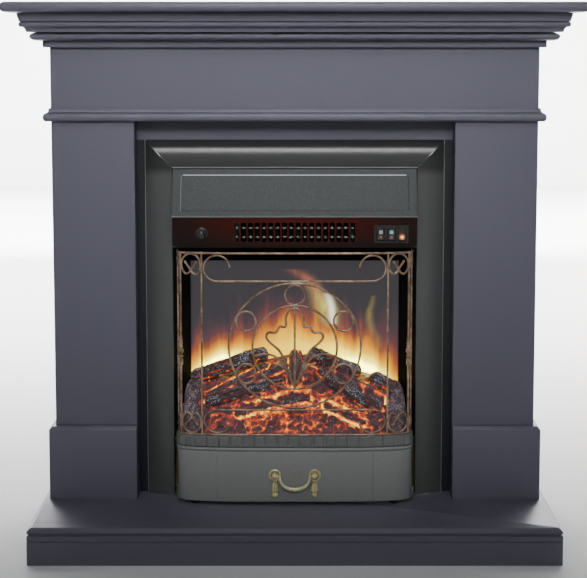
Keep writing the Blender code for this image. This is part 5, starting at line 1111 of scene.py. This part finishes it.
for number, (name, (first, second, radius)) in enumerate(LOGS.items()):
    start, end = np.array(first), np.array(second)
    length = np.linalg.norm(end - start)
    axis = (end - start) / length
    across = np.cross(axis, (0, 1, 0))
    across /= np.linalg.norm(across)
    over = np.cross(axis, across)
    around = np.linspace(0, 2 * np.pi, 72, endpoint=False)
    share, angle = np.meshgrid(np.linspace(0, 1, 150), around, indexing="ij")
    spot = np.stack([share * length, radius * np.cos(angle), radius * np.sin(angle)], -1)
    ridges = rough(spot * (0.24, 1, 1), 0.0040, 20 + number)
    cracks = np.abs(rough(spot * (1, 0.6, 0.6), 0.0085, 30 + number))
    knots = rough(spot, 0.022, 40 + number)
    grain = rough(spot * (0.5, 1, 1), 0.0021, 50 + number)
    ends = np.minimum(share, 1 - share) * length / radius
    broken = np.sqrt(np.clip(1 - (1 - np.minimum(ends / 0.75, 1)) ** 2, 0.02, 1))
    reach = radius * broken * (0.93 + 0.11 * knots + 0.105 * ridges + 0.045 * grain
                               - 0.16 * np.exp(-(cracks / 0.10) ** 2))
    bend = 0.0016 * np.sin(np.pi * share * 1.4 + number)
    centre = start + axis * (share * length)[..., None] + over * bend[..., None]
    grid = centre + reach[..., None] * (np.cos(angle)[..., None] * across + np.sin(angle)[..., None] * over)
    outward_z = (grid - centre)[..., 2] / reach
    # ash on the ridges, and painted glow: the undersides of the loose logs and their cracks glow most where
    # they face down onto the bed's light
    log_ember_and_painted_glow = (-0.24 - 0.85 * ridges - 0.25 * knots + 0.85 * np.exp(-(cracks / 0.10) ** 2)
                * (0.45 - 0.70 * outward_z) + 0.35 * smooth_step(-outward_z, 0.1, 0.9))
    piece(f"{name}_charred_log", [skin(grid)], charred, "suite", [f"log_{name}"], 70,
          log_ember_and_painted_glow)


# Wire screen. Round steel wire bent cold and welded: two bowed rails, posts with turned knops, corner
# scrolls, long hooked scrolls and the medallion. Bronze lacquer, rubbed through to copper where it wears.
bronze = Finish("antique_bronze", (0.16, 0.12, 0.09), 0.38, 0.85)
patina = bronze.sum("MULTIPLY_ADD", bronze.noise(900.0, 3.0), 0.5, -0.25)
patina = bronze.sum("ADD", bronze.noise(70.0, 4.0, 0.6), patina)
bronze_tones = [(0.25, (0.20, 0.135, 0.095)), (0.48, (0.44, 0.32, 0.235)), (0.72, (0.78, 0.60, 0.48))]
bronze.put(Base_Color=bronze.ramp(patina, bronze_tones),
           Roughness=bronze.spread(patina, 0.44, 0.26, 0.3, 0.8))
bronze.grain(0.00004, 1200.0, 3.0)

wire_radius, scroll_radius, screen_inset = 0.0017, 0.0015, 0.0035
low_rail, high_rail = fret_high.z + gap + wire_radius, base_top_z + 0.4205
post_x, inner_post_x = 0.187, 0.152


def on_screen(path, height):
    """Points of the bowed screen for (x, z) pairs, and the direction (dy/dx, -1, 0) that faces outwards."""
    x, z = np.asarray(path, float).T
    step = 1e-5
    slope = (plan_y(x + step, screen_inset) - plan_y(x - step, screen_inset)) / (2 * step)
    outwards = np.stack([slope, np.full_like(x, -1), np.zeros_like(x)], -1)
    return np.stack([x, plan_y(x, screen_inset), z + height], -1), outwards


def screen_wire(path, radius, height, closed=False, sides=12):
    """Wire of the bowed screen along (x, z) pairs, raised by the height."""
    return wire(*on_screen(path, height), radius, sides, closed)


frame_wires = []
rail_share = np.linspace(-1, 1, 161)
rail_x, rail_y = front_curve(rail_share, screen_inset)
for z in (low_rail, high_rail):
    rail = np.stack([rail_x, rail_y, np.full_like(rail_x, z)], -1)
    frame_wires.append(wire(rail, np.cross((0, 0, 1), np.gradient(rail, axis=0)) * -1, wire_radius, 14))
end_x, end_y = rail_x[-1], rail_y[-1]
bite = wire_radius * 0.45
knop_z = base_top_z + 0.258
knop = [(1.0, -0.0245), (1.75, -0.0238), (1.85, -0.0225), (1.85, -0.0150), (1.75, -0.0135), (1.10, -0.0125),
        (1.15, -0.0118), (1.95, -0.0108), (2.15, -0.0096), (1.95, -0.0084), (1.15, -0.0074), (1.10, -0.0062),
        (1.60, -0.0052), (2.15, -0.0036), (2.40, -0.0016), (2.40, 0.0002), (2.15, 0.0024), (1.60, 0.0040),
        (1.10, 0.0048), (1.50, 0.0054), (2.05, 0.0066), (1.50, 0.0078), (1.15, 0.0086), (1.70, 0.0100),
        (1.80, 0.0122), (1.50, 0.0142), (1.10, 0.0150), (1.50, 0.0160), (1.75, 0.0174), (1.50, 0.0188),
        (1.05, 0.0200), (1.25, 0.0215), (1.30, 0.0230), (1.0, 0.0245)]
pretzel = [(0.0, 1.0), (0.49, 0.87), (0.85, 0.50), (1.0, 0.0), (0.88, -0.58), (0.53, -0.93), (0.16, -0.76),
           (-0.10, -0.38), (-0.36, -0.04), (-0.55, 0.22)]
pretzel = spline([(-x, z) for x, z in pretzel[:0:-1]] + pretzel, 7)
lap = np.linspace(-0.5, 0.5, len(pretzel))[:, None] * scroll_radius * 1.8
pretzel_radius = scroll_radius * (1.15 + 0.35 * np.abs(np.linspace(-1, 1, len(pretzel))) ** 24)
post_steps, inner_post_y, post_y = 24, plan_y(inner_post_x, screen_inset), plan_y(post_x, screen_inset)
post_heights = np.linspace(low_rail - bite, high_rail + bite, post_steps)
post_profile = [(1.0, low_rail - bite - knop_z), *knop, (1.0, high_rail + bite - knop_z)]
for side in (-1, 1):
    for x, y in ((inner_post_x, inner_post_y), (end_x - 0.0004, end_y - 0.0006)):
        post = np.stack([np.full(post_steps, side * x), np.full(post_steps, y), post_heights], -1)
        frame_wires.append(wire(post, (0, -1, 0), wire_radius * 0.96))
    turned_post = [(wire_radius * r, z) for r, z in post_profile]
    frame_wires.append(turned(turned_post, (side * post_x, post_y, knop_z), "Z", 20))
    inner_post = np.array((side * inner_post_x, inner_post_y, 0))
    post, rear = np.array((side * post_x, post_y, 0)), np.array((side * end_x, end_y, 0))
    for first, second in ((post, inner_post), (rear, post)):
        width = np.linalg.norm(second - first)
        radius = width / 2 - wire_radius * 0.9
        along = (second - first) / width
        facing = np.cross(along, (0, 0, 1))
        for z, flip in ((low_rail + wire_radius + radius, -1), (high_rail - wire_radius - radius, 1)):
            path = (first + second) / 2 + radius * pretzel[:, :1] * along + lap * facing
            path[:, 2] += z + flip * radius * pretzel[:, 1]
            frame_wires.append(wire(path, facing, pretzel_radius, 10))
piece("screen_frame", frame_wires, bronze, "screen", ["fire_screen"], sharp=50)

medal_z, medal_wide, medal_tall, medal_drop, hook = base_top_z + 0.2683, 0.1080, 0.1030, 0.0025, 0.0215
touch = wire_radius + scroll_radius + gap
hook_x = inner_post_x - touch - hook
top_bar, bottom_bar = medal_z + medal_tall + touch, medal_z - medal_tall - touch
for name, bar_z, flip in (("top", top_bar, 1), ("bottom", bottom_bar, -1)):
    tall = ((high_rail - touch - bar_z) if flip > 0 else (bar_z - low_rail - touch)) / 2
    turn = np.radians(np.linspace(5, 262, 40))
    half_path = np.concatenate((np.stack([-hook_x + hook * np.cos(turn), tall + tall * np.sin(turn)], -1),
                                np.stack([np.linspace(-hook_x + 0.004, -0.002, 24), np.zeros(24)], -1)))
    path = np.concatenate((half_path, half_path[::-1] * (-1, 1)))
    piece(f"hooked_scroll_{name}", [screen_wire(path * (1, flip), scroll_radius, bar_z)], bronze, "screen",
          [f"screen_scroll_{name}"], sharp=50)


def loop(radii, steps, centre=(0, 0)):
    """Ellipse of (x, z) pairs: an arc through a full turn, without its last point."""
    return arc(centre, radii, 0, 360 - 360 / steps, steps - 1)


leaf = [(0.0008, 0.0640), (0.0090, 0.0585), (0.0139, 0.0475), (0.0137, 0.0365), (0.0162, 0.0326),
        (0.0232, 0.0338), (0.0264, 0.0280), (0.0310, 0.0238), (0.0405, 0.0242), (0.0446, 0.0190),
        (0.0438, 0.0138), (0.0370, 0.0060), (0.0262, -0.0032), (0.0200, -0.0125), (0.0155, -0.0235),
        (0.0124, -0.0325), (0.0088, -0.0433), (0.0004, -0.0640)]
blade = [(0.0106, -0.0375), (0.0160, -0.0300), (0.0245, -0.0190), (0.0360, -0.0125), (0.0500, -0.0105),
         (0.0632, -0.0137)]
under_blade = [(0.0088, -0.0440), (0.0150, -0.0360), (0.0230, -0.0290), (0.0320, -0.0255)]
inner_ring, small_ring, orbit_wide, orbit_tall = 0.0690, 0.0160, 0.0919, 0.0868
leaf_radius, ring_radius = 0.0020, 0.0018
leaf_wide, leaf_tall = 1.035, 1.03
inner_z = medal_z - medal_drop
medal_wires = [screen_wire(loop((medal_wide, medal_tall), 144), ring_radius, medal_z, True),
               screen_wire(loop((inner_ring, inner_ring), 108), ring_radius, inner_z, True)]
for a in np.radians((90, 150, 210, 330, 30)):
    ring = loop((small_ring, small_ring), 48, (orbit_wide * math.cos(a), orbit_tall * math.sin(a)))
    medal_wires.append(screen_wire(ring, ring_radius, inner_z, True, 10))
stem = np.stack([np.zeros(20), np.linspace(inner_ring + 0.0005, -inner_ring - 0.0005, 20)], -1)
medal_wires.append(screen_wire(stem, ring_radius, inner_z))
for side in (-1, 1):
    for path, radius in ((leaf, leaf_radius), (blade, ring_radius), (under_blade, ring_radius)):
        path = spline(path, 5) * (side * leaf_wide, leaf_tall)
        medal_wires.append(screen_wire(path, radius, inner_z, sides=10))
piece("medallion", medal_wires, bronze, "screen", ["screen_medallion"], sharp=50)


low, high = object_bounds()
